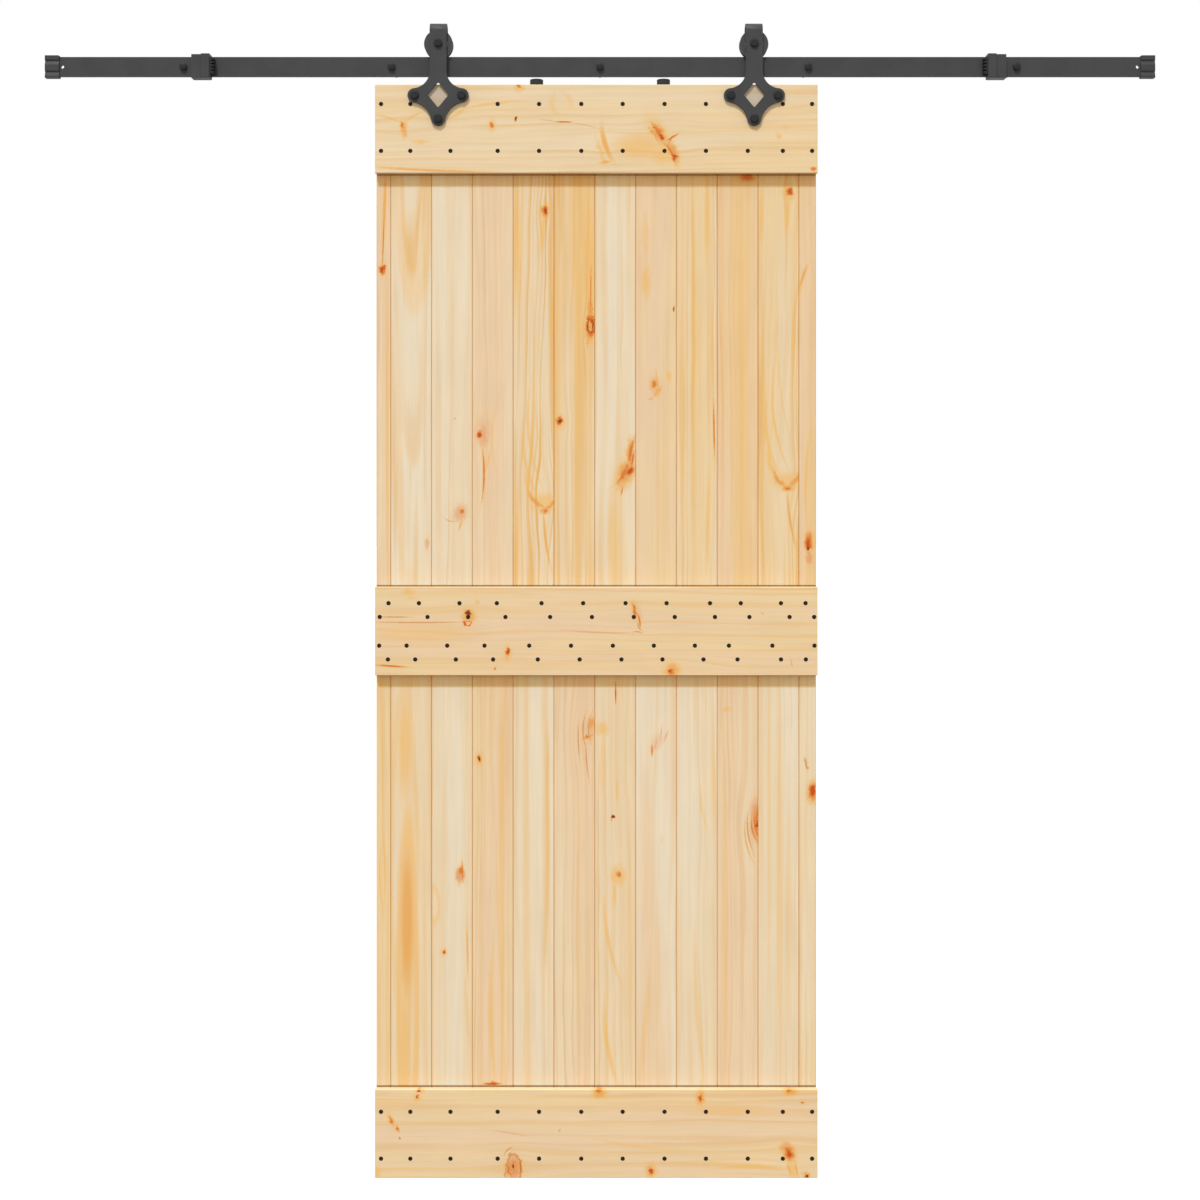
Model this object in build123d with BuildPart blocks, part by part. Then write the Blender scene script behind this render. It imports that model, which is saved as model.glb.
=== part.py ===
from build123d import *
import math
import os

os.makedirs("parts", exist_ok=True)

# A sliding barn door on a flat wall rail. Millimetres, X along the rail to the right, Y into the wall, Z up.
# The origin is on the wall, at the middle bolt of the rail. Depths count from the wall towards the room.

# Door leaf
door_width = 850
door_height = 2100
door_offset = -7.2
door_drop = 35.8
bar_height = 170
bar_thickness = 15
bar_edge_radius = 1.2
bar_back_chamfer = 4
board_thickness = 15
panel_inset = 1
full_boards = 10
first_board_width = 27.6
last_board_width = 33.1
joint_gap = 0.2
joint_bevel = 1.2
butt_gap = 0.4
tongue_thickness = 5
tongue_length = 6
tongue_clearance = 0.2

# Wood screws through the bars into the boards
screw_head_radius = 4.2
screw_tip_radius = 1
screw_length = 27
screw_proud = 0.3
screw_sides = 8
outer_row_inset = 37.5
end_row_spacing = 90
middle_outer_row = 54
middle_inner_row = 27.5
end_row_shares = (0.39, 0.50, 0.48, 0.63, 0.64, 0.67, 0.68, 0.70, 0.71, 0.73, 0.585, 0.71)
middle_row_shares = (
    (0.91, 0.71, 0.70, 0.61, 0.70, 0.715, 0.75, 0.75, 0.81, 0.56, 0.54, 0.33),
    (0.30, 0.92, 0.91, 0.82, 0.91, 0.93, 0.95, 0.95, 0.93, 0.77, 0.75, 0.83),
    (0.26, 0.41, 0.40, 0.31, 0.40, 0.42, 0.44, 0.44, 0.44, 0.27, 0.33, 0.85),
    (0.87, 0.62, 0.61, 0.52, 0.61, 0.63, 0.65, 0.65, 0.65, 0.48, 0.54, 0.35),
)

# Rail and its fixings
rail_length = 2126
rail_height = 38
rail_thickness = 6
rail_bolts = 5
rail_bolt_inset = 261
rail_end_hole_inset = 28
rail_end_hole_radius = 3.3
spacer_length = 30
spacer_radius = 11
lag_radius = 4
lag_thread_radius = 3.7
lag_head_width = 13
lag_head_height = 5.5
lag_reach = 50
lag_point = 8
lag_hole_clearance = 0.5

# End caps
cap_length = 27.5
cap_end_wall = 5
cap_rim = 2.6
cap_face_wall = 3.4
cap_clearance = 0.1
cap_groove_height = 9.6
cap_groove_depth = 2.4
cap_groove_offset = 10.6
cap_groove_drop = 2
cap_groove_root_share = 0.25
cap_corner = 1

# Stops and their bumpers
left_stop_inset = 314.1
right_stop_inset = 318.7
stop_step_length = 16
stop_tail_length = 19.4
stop_rim = 3
stop_foot = 4.7
stop_step_rise = 0.7
stop_step_front = 15.5
stop_tail_front = 11
stop_back_wall = 4
stop_corner = 2.5
stop_edge = 1
stop_clearance = 0.1
stop_screw_radius = 3
bumper_base = 2.5
bumper_rib_length = 6
bumper_ribs = 5
bumper_pitch = 6.35
bumper_depth = 12.5
bumper_gap = 1.5
rib_root_share = 0.84
rib_tip_share = 0.36

# Hangers
left_hanger_share = 0.182
right_hanger_share = 0.886
strap_width = 32.5
strap_thickness = 5
strap_gap = 23
strap_crown = 24.4
star_drop = 21.5
tip_radius = 13.4
tip_reach = 45.2
upper_arc_radius = 33.6
lower_arc_radius = 41.9
window_half_width = 20.5
window_half_height = 24.6
window_corner = 2
window_rise = 0.85
bolt_radius = 4
bolt_clearance = 0.2
bolt_head_radius = 8.4
bolt_head_height = 5
bolt_end = 2
washer_radius = 10
washer_thickness = 1.6
nut_width = 13
nut_height = 5

# Wheels and axles
wheel_radius = 27.5
rolling_radius = 23.2
rolling_gap = 0.3
wheel_width = 20
groove_side_gap = 0.75
groove_flare = 1.75
bearing_radius = 18
bearing_recess = 2
axle_radius = 5
axle_clearance = 0.05
axle_side_gap = 0.3
axle_head_radius = 8.2
axle_head_height = 5
axle_nut_width = 16
axle_nut_height = 6
axle_end = 1.5
sleeve_radius = 8

# Discs that keep the door from lifting off the rail
disc_radius = 12.7
disc_height = 11.4
disc_places = (-115, 129.5)
disc_edge = 0.5
disc_margin = 0.2
disc_screw_radius = 2
disc_screw_head_radius = 4
disc_screw_length = 40

# Worked out from the sizes above
rail_front = spacer_length + rail_thickness
rail_middle = spacer_length + rail_thickness / 2
rail_top = rail_height / 2
rail_bolt_spacing = (rail_length - 2 * rail_bolt_inset) / (rail_bolts - 1)
stop_insets = {"left": left_stop_inset, "right": right_stop_inset}
stop_sides = {"left": -1, "right": 1}
stop_faces = {name: side * (rail_length / 2 - stop_insets[name]) for name, side in stop_sides.items()}
strap_back = rail_middle + strap_gap / 2
strap_front = strap_back + strap_thickness
door_front = strap_back
board_front = door_front - bar_thickness
board_back = board_front - board_thickness
door_top = -door_drop
door_bottom = door_top - door_height
door_middle = (door_top + door_bottom) / 2
axle_height = rail_top + rolling_radius + rolling_gap
bend_radius = strap_gap / 2 + strap_thickness
bend_height = axle_height + strap_crown
star_height = door_top - star_drop
panel_left = door_offset - door_width / 2 + panel_inset
panel_width = door_width - 2 * panel_inset
board_cover = (panel_width - first_board_width - last_board_width) / full_boards
board_widths = [first_board_width] + [board_cover] * full_boards + [last_board_width]
board_lefts = [panel_left + sum(board_widths[:i]) for i in range(len(board_widths))]
hanger_places = {
    "left": board_lefts[2] + left_hanger_share * board_cover,
    "right": board_lefts[-3] + right_hanger_share * board_cover,
}
bolt_places = [
    (hanger + side, star_height - drop)
    for hanger in hanger_places.values()
    for side, drop in ((-tip_reach, 0), (tip_reach, 0), (0, tip_reach))
]


def at_depth(depth):
    """A plane that faces the room, at a depth in front of the wall. Its own X and Y are X and Z."""
    return Plane.XZ.offset(depth)


def save(builder, name):
    builder.part.label = name
    export_step(builder.part, f"parts/{name}.step")


# Holes for the hanger bolts, through bar and boards
with BuildPart() as bolt_holes:
    with BuildSketch(at_depth(board_back)):
        with Locations(*bolt_places):
            Circle(bolt_radius + bolt_clearance)
    extrude(amount=door_front - board_back)


def board_outline(left, width, groove, tongue):
    """The plan of one board: a groove on its left edge, a tongue on its right, bevels at the front."""
    near = -board_front
    far = -board_back
    middle = (near + far) / 2
    left_edge = left + joint_gap / 2
    right_edge = left + width - joint_gap / 2
    half_groove = tongue_thickness / 2 + tongue_clearance
    groove_end = left_edge + tongue_length + tongue_clearance
    tongue_end = right_edge + tongue_length
    points = [(left_edge + joint_bevel, near), (right_edge - joint_bevel, near)]
    points += [(right_edge, near + joint_bevel)]
    if tongue:
        points += [(right_edge, middle - tongue_thickness / 2), (tongue_end, middle - tongue_thickness / 2)]
        points += [(tongue_end, middle + tongue_thickness / 2), (right_edge, middle + tongue_thickness / 2)]
    points += [(right_edge, far), (left_edge, far)]
    if groove:
        points += [(left_edge, middle + half_groove), (groove_end, middle + half_groove)]
        points += [(groove_end, middle - half_groove), (left_edge, middle - half_groove)]
    points += [(left_edge, near + joint_bevel)]
    return points


# Boards, in an upper and a lower length that meet behind the middle bar
board_length = (door_height - butt_gap) / 2
for row, foot in (("upper", door_middle + butt_gap / 2), ("lower", door_bottom)):
    for i, (left, width) in enumerate(zip(board_lefts, board_widths)):
        with BuildPart() as board:
            with BuildSketch(Plane.XY.offset(foot)):
                last = len(board_widths) - 1
                Polygon(*board_outline(left, width, groove=i > 0, tongue=i < last), align=None)
            extrude(amount=board_length)
            if row == "upper":
                add(bolt_holes.part, mode=Mode.SUBTRACT)
        save(board, f"{row}_board_{i + 1:02d}")

# Bars across the front, with eased edges, and chamfered at the back where they lie over the boards
disc_depth = door_front - disc_radius - disc_margin
disc_centres = [(door_offset + place, -disc_depth) for place in disc_places]
bar_heights = {
    "top_bar": door_top - bar_height / 2,
    "middle_bar": door_middle,
    "bottom_bar": door_bottom + bar_height / 2,
}
for name, height in bar_heights.items():
    with BuildPart() as bar:
        with BuildSketch(at_depth(board_front)):
            with Locations((door_offset, height)):
                Rectangle(door_width, bar_height)
        extrude(amount=bar_thickness)
        back_edges = bar.faces().sort_by(Axis.Y)[-1].edges().filter_by(Axis.X)
        over_boards = (door_bottom + bar_back_chamfer, door_top - bar_back_chamfer)
        chamfer(back_edges.filter_by_position(Axis.Z, *over_boards), bar_back_chamfer)
        fillet(bar.faces().sort_by(Axis.Y)[0].edges(), bar_edge_radius)
        if name == "top_bar":
            add(bolt_holes.part, mode=Mode.SUBTRACT)
            with Locations(*[(x, y, door_top) for x, y in disc_centres]):
                disc_screw_bite = disc_screw_length - disc_height
                Hole(disc_screw_radius, depth=disc_screw_bite)
    save(bar, name)

# Wood screws, two at each end of each board
screw_rows = [
    (door_top - outer_row_inset, end_row_shares),
    (door_top - outer_row_inset - end_row_spacing, end_row_shares),
    (door_middle + middle_outer_row, middle_row_shares[0]),
    (door_middle + middle_inner_row, middle_row_shares[1]),
    (door_middle - middle_inner_row, middle_row_shares[2]),
    (door_middle - middle_outer_row, middle_row_shares[3]),
    (door_bottom + outer_row_inset + end_row_spacing, end_row_shares),
    (door_bottom + outer_row_inset, end_row_shares),
]
screw_places = [
    (left + share * width, height)
    for height, shares in screw_rows
    for left, width, share in zip(board_lefts, board_widths, shares)
]


def under_plate(x, z):
    """Whether a screw is covered by one of the hanger plates, where its head has to lie flush."""
    return any(
        abs(x - hanger) + abs(z - star_height) < tip_reach + tip_radius for hanger in hanger_places.values()
    )


flush_places = [place for place in screw_places if under_plate(*place)]
proud_places = [place for place in screw_places if not under_plate(*place)]
screw_taper = math.degrees(math.atan2(screw_head_radius - screw_tip_radius, screw_length))
with BuildPart() as board_screws:
    for places, depth in ((proud_places, door_front + screw_proud), (flush_places, door_front)):
        if places:
            with BuildSketch(at_depth(depth)):
                with Locations(*places):
                    RegularPolygon(screw_head_radius, screw_sides)
            extrude(amount=-screw_length, taper=screw_taper)
save(board_screws, "board_screws")

# Rail
with BuildPart() as rail:
    with BuildSketch(at_depth(spacer_length)):
        Rectangle(rail_length, rail_height)
        with GridLocations(rail_bolt_spacing, 0, rail_bolts, 1):
            Circle(lag_radius + lag_hole_clearance, mode=Mode.SUBTRACT)
        with GridLocations(rail_length - 2 * rail_end_hole_inset, 0, 2, 1):
            Circle(rail_end_hole_radius, mode=Mode.SUBTRACT)
    extrude(amount=rail_thickness)
save(rail, "rail")

# Spacers between rail and wall
with BuildPart() as wall_spacers:
    with BuildSketch(at_depth(0)):
        with GridLocations(rail_bolt_spacing, 0, rail_bolts, 1):
            Circle(spacer_radius)
            Circle(lag_radius + lag_hole_clearance, mode=Mode.SUBTRACT)
    extrude(amount=spacer_length)
save(wall_spacers, "wall_spacers")

# Hex-head wall screws, from the front of the rail into the wall
with BuildPart() as lag_screws:
    with BuildSketch(at_depth(rail_front)):
        with GridLocations(rail_bolt_spacing, 0, rail_bolts, 1):
            RegularPolygon(lag_head_width / 2, 6, major_radius=False)
    extrude(amount=lag_head_height)
    with BuildSketch(at_depth(0)):
        with GridLocations(rail_bolt_spacing, 0, rail_bolts, 1):
            Circle(lag_radius)
    extrude(amount=rail_front)
    with BuildSketch(at_depth(lag_point - lag_reach)):
        with GridLocations(rail_bolt_spacing, 0, rail_bolts, 1):
            Circle(lag_thread_radius)
    extrude(amount=lag_reach - lag_point)
    with GridLocations(rail_bolt_spacing, 0, rail_bolts, 1):
        with Locations((0, lag_reach - lag_point, 0)):
            Cone(
                lag_thread_radius,
                0,
                lag_point,
                rotation=(-90, 0, 0),
                align=(Align.CENTER, Align.CENTER, Align.MIN),
            )
save(lag_screws, "lag_screws")

# End caps, with two grooves across the front, pushed over the ends of the rail
for name, side in (("left", -1), ("right", 1)):
    cap_mouth = side * (rail_length / 2 + cap_end_wall - cap_length)
    with BuildPart() as cap:
        with BuildSketch(Plane.YZ.offset(cap_mouth)):
            with Locations((-rail_middle, 0)):
                Rectangle(rail_thickness + 2 * cap_face_wall, rail_height + 2 * cap_rim)
        extrude(amount=side * cap_length)
        chamfer(cap.edges().filter_by(GeomType.LINE).group_by(Axis.X)[0 if side > 0 else -1], cap_corner)
        with BuildSketch(Plane.YZ.offset(cap_mouth)):
            with GridLocations(0, 2 * cap_groove_offset, 1, 2):
                with Locations((-rail_front - cap_face_wall, -cap_groove_drop)):
                    half = cap_groove_height / 2
                    root = half - cap_groove_height * cap_groove_root_share
                    Polygon((0, half), (cap_groove_depth, root), (0, -half), align=None)
        extrude(amount=side * cap_length, mode=Mode.SUBTRACT)
        with BuildSketch(Plane.YZ.offset(cap_mouth)):
            with Locations((-rail_middle, 0)):
                Rectangle(rail_thickness + 2 * cap_clearance, rail_height + 2 * cap_clearance)
        extrude(amount=side * (cap_length - cap_end_wall), mode=Mode.SUBTRACT)
    save(cap, f"{name}_end_cap")

# Stops: a taller step that carries the bumper, and a lower tail, both closed round the rail
stop_height = rail_height + stop_rim + stop_foot
stop_middle = (stop_rim - stop_foot) / 2
for name, side in stop_sides.items():
    with BuildPart() as stop:
        with BuildSketch(at_depth(spacer_length - stop_back_wall)):
            with Locations((stop_faces[name] + side * (stop_step_length + stop_tail_length / 2), stop_middle)):
                Rectangle(stop_tail_length, stop_height)
        extrude(amount=stop_back_wall + rail_thickness + stop_tail_front)
        with BuildSketch(at_depth(spacer_length - stop_back_wall)) as step:
            with Locations((stop_faces[name] + side * stop_step_length / 2, stop_middle + stop_step_rise / 2)):
                Rectangle(stop_step_length, stop_height + stop_step_rise)
            fillet(step.vertices().group_by(Axis.Z)[0].sort_by(Axis.X)[0 if side > 0 else -1], stop_corner)
        extrude(amount=stop_back_wall + rail_thickness + stop_step_front)
        with BuildSketch(Plane.YZ.offset(stop_faces[name])):
            with Locations((-rail_middle, -stop_clearance)):
                Rectangle(rail_thickness + 2 * stop_clearance, rail_height + 2 * stop_clearance)
        extrude(amount=side * (stop_step_length + stop_tail_length), mode=Mode.SUBTRACT)
        with BuildSketch(at_depth(spacer_length - stop_back_wall)):
            with Locations((stop_faces[name] + side * stop_step_length, 0)):
                Circle(stop_screw_radius)
        extrude(amount=stop_back_wall, mode=Mode.SUBTRACT)
        chamfer(stop.faces().sort_by(Axis.Y)[0].edges(), stop_edge)
    save(stop, f"{name}_stop")

# Grub screws in the backs of the stops, hard against the rail
with BuildPart() as stop_screws:
    with BuildSketch(at_depth(spacer_length - stop_back_wall)):
        with Locations(*[(face + stop_sides[name] * stop_step_length, 0) for name, face in stop_faces.items()]):
            Circle(stop_screw_radius)
    extrude(amount=stop_back_wall)
save(stop_screws, "stop_screws")

# Ribbed bumpers on the inner faces of the stops
bumper_height = bumper_ribs * bumper_pitch
for name, side in stop_sides.items():
    with BuildPart() as bumper:
        with BuildSketch(at_depth(rail_front + bumper_gap)):
            with Locations((stop_faces[name] - side * bumper_base / 2, 0)):
                Rectangle(bumper_base, bumper_height)
            with Locations((stop_faces[name] - side * bumper_base, 0)):
                with GridLocations(0, bumper_pitch, 1, bumper_ribs):
                    root = bumper_pitch * rib_root_share / 2
                    tip = bumper_pitch * rib_tip_share / 2
                    reach = -side * bumper_rib_length
                    Polygon((0, -root), (reach, -tip), (reach, tip), (0, root), align=None)
        extrude(amount=bumper_depth)
    save(bumper, f"{name}_bumper")


def touching(circle, tip_circle, radius):
    """The point of a tip circle that a concave arc's circle touches."""
    return tip_circle + (circle - tip_circle).normalized() * radius


# Centres of the plate's arcs, from the plate's own middle
side_tip = Vector(tip_reach, 0)
bottom_tip = Vector(0, -tip_reach)
upper_x = strap_width / 2 + upper_arc_radius
upper_arc = Vector(upper_x, math.sqrt((upper_arc_radius + tip_radius) ** 2 - (upper_x - tip_reach) ** 2))
lower_half = math.hypot(tip_reach, tip_reach) / 2
lower_out = math.sqrt((lower_arc_radius + tip_radius) ** 2 - lower_half**2)
lower_arc = (side_tip + bottom_tip) / 2 + Vector(1, -1).normalized() * lower_out
flare_start = Vector(strap_width / 2, upper_arc.Y)
upper_touch = touching(upper_arc, side_tip, tip_radius)
lower_touch = touching(lower_arc, side_tip, tip_radius)
bottom_touch = touching(lower_arc, bottom_tip, tip_radius)
strap_top = bend_height - star_height
right_points = [
    (strap_width / 2, strap_top),
    (flare_start.X, flare_start.Y),
    (upper_touch.X, upper_touch.Y),
    (side_tip.X, side_tip.Y),
    (lower_touch.X, lower_touch.Y),
    (bottom_touch.X, bottom_touch.Y),
    (bottom_tip.X, bottom_tip.Y),
]
left_points = [(-x, y) for x, y in reversed(right_points[:-1])]

# Straps, bent over the wheel, each ending in a three-pointed plate with a diamond window
for name, place in hanger_places.items():
    plate = Plane(origin=(place, -strap_back, star_height), x_dir=(1, 0, 0), z_dir=(0, -1, 0))
    with BuildPart() as strap:
        with BuildSketch(plate):
            Polygon(*right_points, *left_points, align=None)
            with Locations((upper_arc.X, upper_arc.Y), (-upper_arc.X, upper_arc.Y)):
                Circle(upper_arc_radius, mode=Mode.SUBTRACT)
            with Locations((lower_arc.X, lower_arc.Y), (-lower_arc.X, lower_arc.Y)):
                Circle(lower_arc_radius, mode=Mode.SUBTRACT)
            with Locations((-tip_reach, 0), (tip_reach, 0), (0, -tip_reach)):
                Circle(tip_radius)
                Circle(bolt_radius + bolt_clearance, mode=Mode.SUBTRACT)
        extrude(amount=strap_thickness)
        with BuildSketch(plate) as window:
            with Locations((0, window_rise)):
                half_width = window_half_width
                half_height = window_half_height
                Polygon((half_width, 0), (0, half_height), (-half_width, 0), (0, -half_height), align=None)
            fillet(window.vertices(), window_corner)
        extrude(amount=strap_thickness, mode=Mode.SUBTRACT)
        with BuildSketch(Plane.YZ.offset(place - strap_width / 2)):
            with Locations((-rail_middle, bend_height)):
                Circle(bend_radius)
                Circle(strap_gap / 2, mode=Mode.SUBTRACT)
                with Locations((0, -bend_radius / 2)):
                    Rectangle(2 * bend_radius, bend_radius, mode=Mode.SUBTRACT)
        extrude(amount=strap_width)
        with BuildSketch(at_depth(rail_middle - bend_radius)):
            with Locations((place, (bend_height + axle_height) / 2)):
                Rectangle(strap_width, bend_height - axle_height)
            with Locations((place, axle_height)):
                Circle(strap_width / 2)
        extrude(amount=strap_thickness)
        with BuildSketch(at_depth(rail_middle - bend_radius)):
            with Locations((place, axle_height)):
                Circle(axle_radius + axle_clearance)
        extrude(amount=2 * bend_radius, mode=Mode.SUBTRACT)
    save(strap, f"{name}_strap")

# Grooved wheels on the rail, each with a sealed bearing pressed in
groove_root = rail_thickness / 2 + groove_side_gap
groove_mouth = groove_root + groove_flare
bearing_half = wheel_width / 2 - bearing_recess
half_section = [
    (bearing_radius, wheel_width / 2),
    (wheel_radius, wheel_width / 2),
    (wheel_radius, groove_mouth),
    (rolling_radius, groove_root),
]
for name, place in hanger_places.items():
    hub = Plane(origin=(place, -rail_middle, axle_height), x_dir=(1, 0, 0), z_dir=(0, 0, 1))
    axle = Axis(hub.origin, (0, 1, 0))
    with BuildPart() as wheel:
        with BuildSketch(hub):
            Polygon(*half_section, *[(r, -y) for r, y in reversed(half_section)], align=None)
        revolve(axis=axle)
    save(wheel, f"{name}_wheel")
    with BuildPart() as bearing:
        with BuildSketch(at_depth(rail_middle - bearing_half)):
            with Locations((place, axle_height)):
                Circle(bearing_radius)
                Circle(axle_radius + axle_clearance, mode=Mode.SUBTRACT)
        extrude(amount=2 * bearing_half)
    save(bearing, f"{name}_bearing")

# Collars that centre each bearing between the legs of its strap
axle_places = [(place, axle_height) for place in hanger_places.values()]
collar_length = strap_gap / 2 - bearing_half - axle_side_gap
with BuildPart() as axle_sleeves:
    for depth in (rail_middle - strap_gap / 2, strap_back - collar_length):
        with BuildSketch(at_depth(depth)):
            with Locations(*axle_places):
                Circle(sleeve_radius)
                Circle(axle_radius, mode=Mode.SUBTRACT)
        extrude(amount=collar_length)
save(axle_sleeves, "axle_sleeves")

# Axle bolts with domed heads, and their nuts behind the straps
axle_back = rail_middle - bend_radius
with BuildPart() as axle_bolts:
    with BuildSketch(at_depth(strap_front)):
        with Locations(*axle_places):
            Circle(axle_head_radius)
    extrude(amount=axle_head_height)
    chamfer(axle_bolts.edges().group_by(Axis.Y)[0], axle_head_height / 2)
    with BuildSketch(at_depth(axle_back - axle_nut_height - axle_end)):
        with Locations(*axle_places):
            Circle(axle_radius)
    extrude(amount=strap_front - axle_back + axle_nut_height + axle_end)
save(axle_bolts, "axle_bolts")

with BuildPart() as axle_nuts:
    with BuildSketch(at_depth(axle_back - axle_nut_height)):
        with Locations(*axle_places):
            RegularPolygon(axle_nut_width / 2, 6, major_radius=False)
            Circle(axle_radius, mode=Mode.SUBTRACT)
    extrude(amount=axle_nut_height)
save(axle_nuts, "axle_nuts")

# Hanger bolts through plate, bar and board, with washers and nuts at the back
nut_back = board_back - washer_thickness - nut_height
with BuildPart() as hanger_bolts:
    with BuildSketch(at_depth(strap_front)):
        with Locations(*bolt_places):
            Circle(bolt_head_radius)
    extrude(amount=bolt_head_height)
    chamfer(hanger_bolts.edges().group_by(Axis.Y)[0], bolt_head_height / 2)
    with BuildSketch(at_depth(nut_back - bolt_end)):
        with Locations(*bolt_places):
            Circle(bolt_radius)
    extrude(amount=strap_front - nut_back + bolt_end)
save(hanger_bolts, "hanger_bolts")

with BuildPart() as hanger_washers:
    with BuildSketch(at_depth(board_back - washer_thickness)):
        with Locations(*bolt_places):
            Circle(washer_radius)
            Circle(bolt_radius + bolt_clearance, mode=Mode.SUBTRACT)
    extrude(amount=washer_thickness)
save(hanger_washers, "hanger_washers")

with BuildPart() as hanger_nuts:
    with BuildSketch(at_depth(nut_back)):
        with Locations(*bolt_places):
            RegularPolygon(nut_width / 2, 6, major_radius=False)
            Circle(bolt_radius, mode=Mode.SUBTRACT)
    extrude(amount=nut_height)
save(hanger_nuts, "hanger_nuts")

# Discs on the top edge of the door, each held by a countersunk screw
with BuildPart() as anti_jump_discs:
    with BuildSketch(Plane.XY.offset(door_top)):
        with Locations(*disc_centres):
            Circle(disc_radius)
    extrude(amount=disc_height)
    chamfer(anti_jump_discs.edges().group_by(Axis.Z)[-1], disc_edge)
    with Locations(*[(x, y, door_top + disc_height) for x, y in disc_centres]):
        CounterSinkHole(disc_screw_radius, disc_screw_head_radius, disc_height, counter_sink_angle=90)
save(anti_jump_discs, "anti_jump_discs")

disc_head_depth = disc_screw_head_radius - disc_screw_radius
disc_screw_foot = door_top + disc_height - disc_screw_length
with BuildPart() as disc_screws:
    with BuildSketch(Plane.XY.offset(disc_screw_foot)):
        with Locations(*disc_centres):
            Circle(disc_screw_radius)
    extrude(amount=disc_screw_length - disc_head_depth)
    with Locations(*[(x, y, door_top + disc_height - disc_head_depth) for x, y in disc_centres]):
        Cone(
            disc_screw_radius,
            disc_screw_head_radius,
            disc_head_depth,
            align=(Align.CENTER, Align.CENTER, Align.MIN),
        )
save(disc_screws, "disc_screws")
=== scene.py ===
import math
import random

import bmesh
import bpy
from mathutils import Matrix, Vector


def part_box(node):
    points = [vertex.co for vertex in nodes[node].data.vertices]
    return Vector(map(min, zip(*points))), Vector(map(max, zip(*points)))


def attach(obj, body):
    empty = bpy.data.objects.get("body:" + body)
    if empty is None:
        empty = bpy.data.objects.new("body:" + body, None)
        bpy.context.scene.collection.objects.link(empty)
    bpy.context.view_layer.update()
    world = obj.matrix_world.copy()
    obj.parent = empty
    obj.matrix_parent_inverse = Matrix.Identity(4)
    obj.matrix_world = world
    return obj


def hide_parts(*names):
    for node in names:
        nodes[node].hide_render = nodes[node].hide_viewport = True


# The looks of a sliding barn door: knotty pine, black hardware, soft light on white.
# All is in metres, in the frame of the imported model: X along the rail, Y into the wall, Z up.
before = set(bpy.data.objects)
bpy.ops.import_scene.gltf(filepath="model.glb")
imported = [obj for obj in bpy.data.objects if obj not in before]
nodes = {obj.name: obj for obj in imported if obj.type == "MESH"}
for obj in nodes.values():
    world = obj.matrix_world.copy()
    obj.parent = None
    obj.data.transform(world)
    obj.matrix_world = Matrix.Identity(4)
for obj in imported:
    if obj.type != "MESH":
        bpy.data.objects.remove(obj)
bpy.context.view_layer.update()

MM = 0.001

# The photograph's view, square on to the door. The bars' face lies at the camera's distance.
PHOTO_PIXELS = 1200
CAMERA_DISTANCE = 3.2
CAMERA_LENS = 50.0
CAMERA_SENSOR = 36.0
FRAME_MIDDLE = -1.0257
SHIFT_UP = -0.12
FRAME_WIDTH = CAMERA_DISTANCE * CAMERA_SENSOR / CAMERA_LENS
CAMERA_HEIGHT = FRAME_MIDDLE - SHIFT_UP * FRAME_WIDTH
BARS_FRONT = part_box("top_bar")[0].y


def linear(red, green, blue):
    """A colour written in sRGB from 0 to 255, as linear RGBA."""
    def channel(value):
        share = value / 255
        return share / 12.92 if share <= 0.04045 else ((share + 0.055) / 1.055) ** 2.4

    return (channel(red), channel(green), channel(blue), 1.0)


def grey(value):
    return (value, value, value, 1.0)


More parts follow.
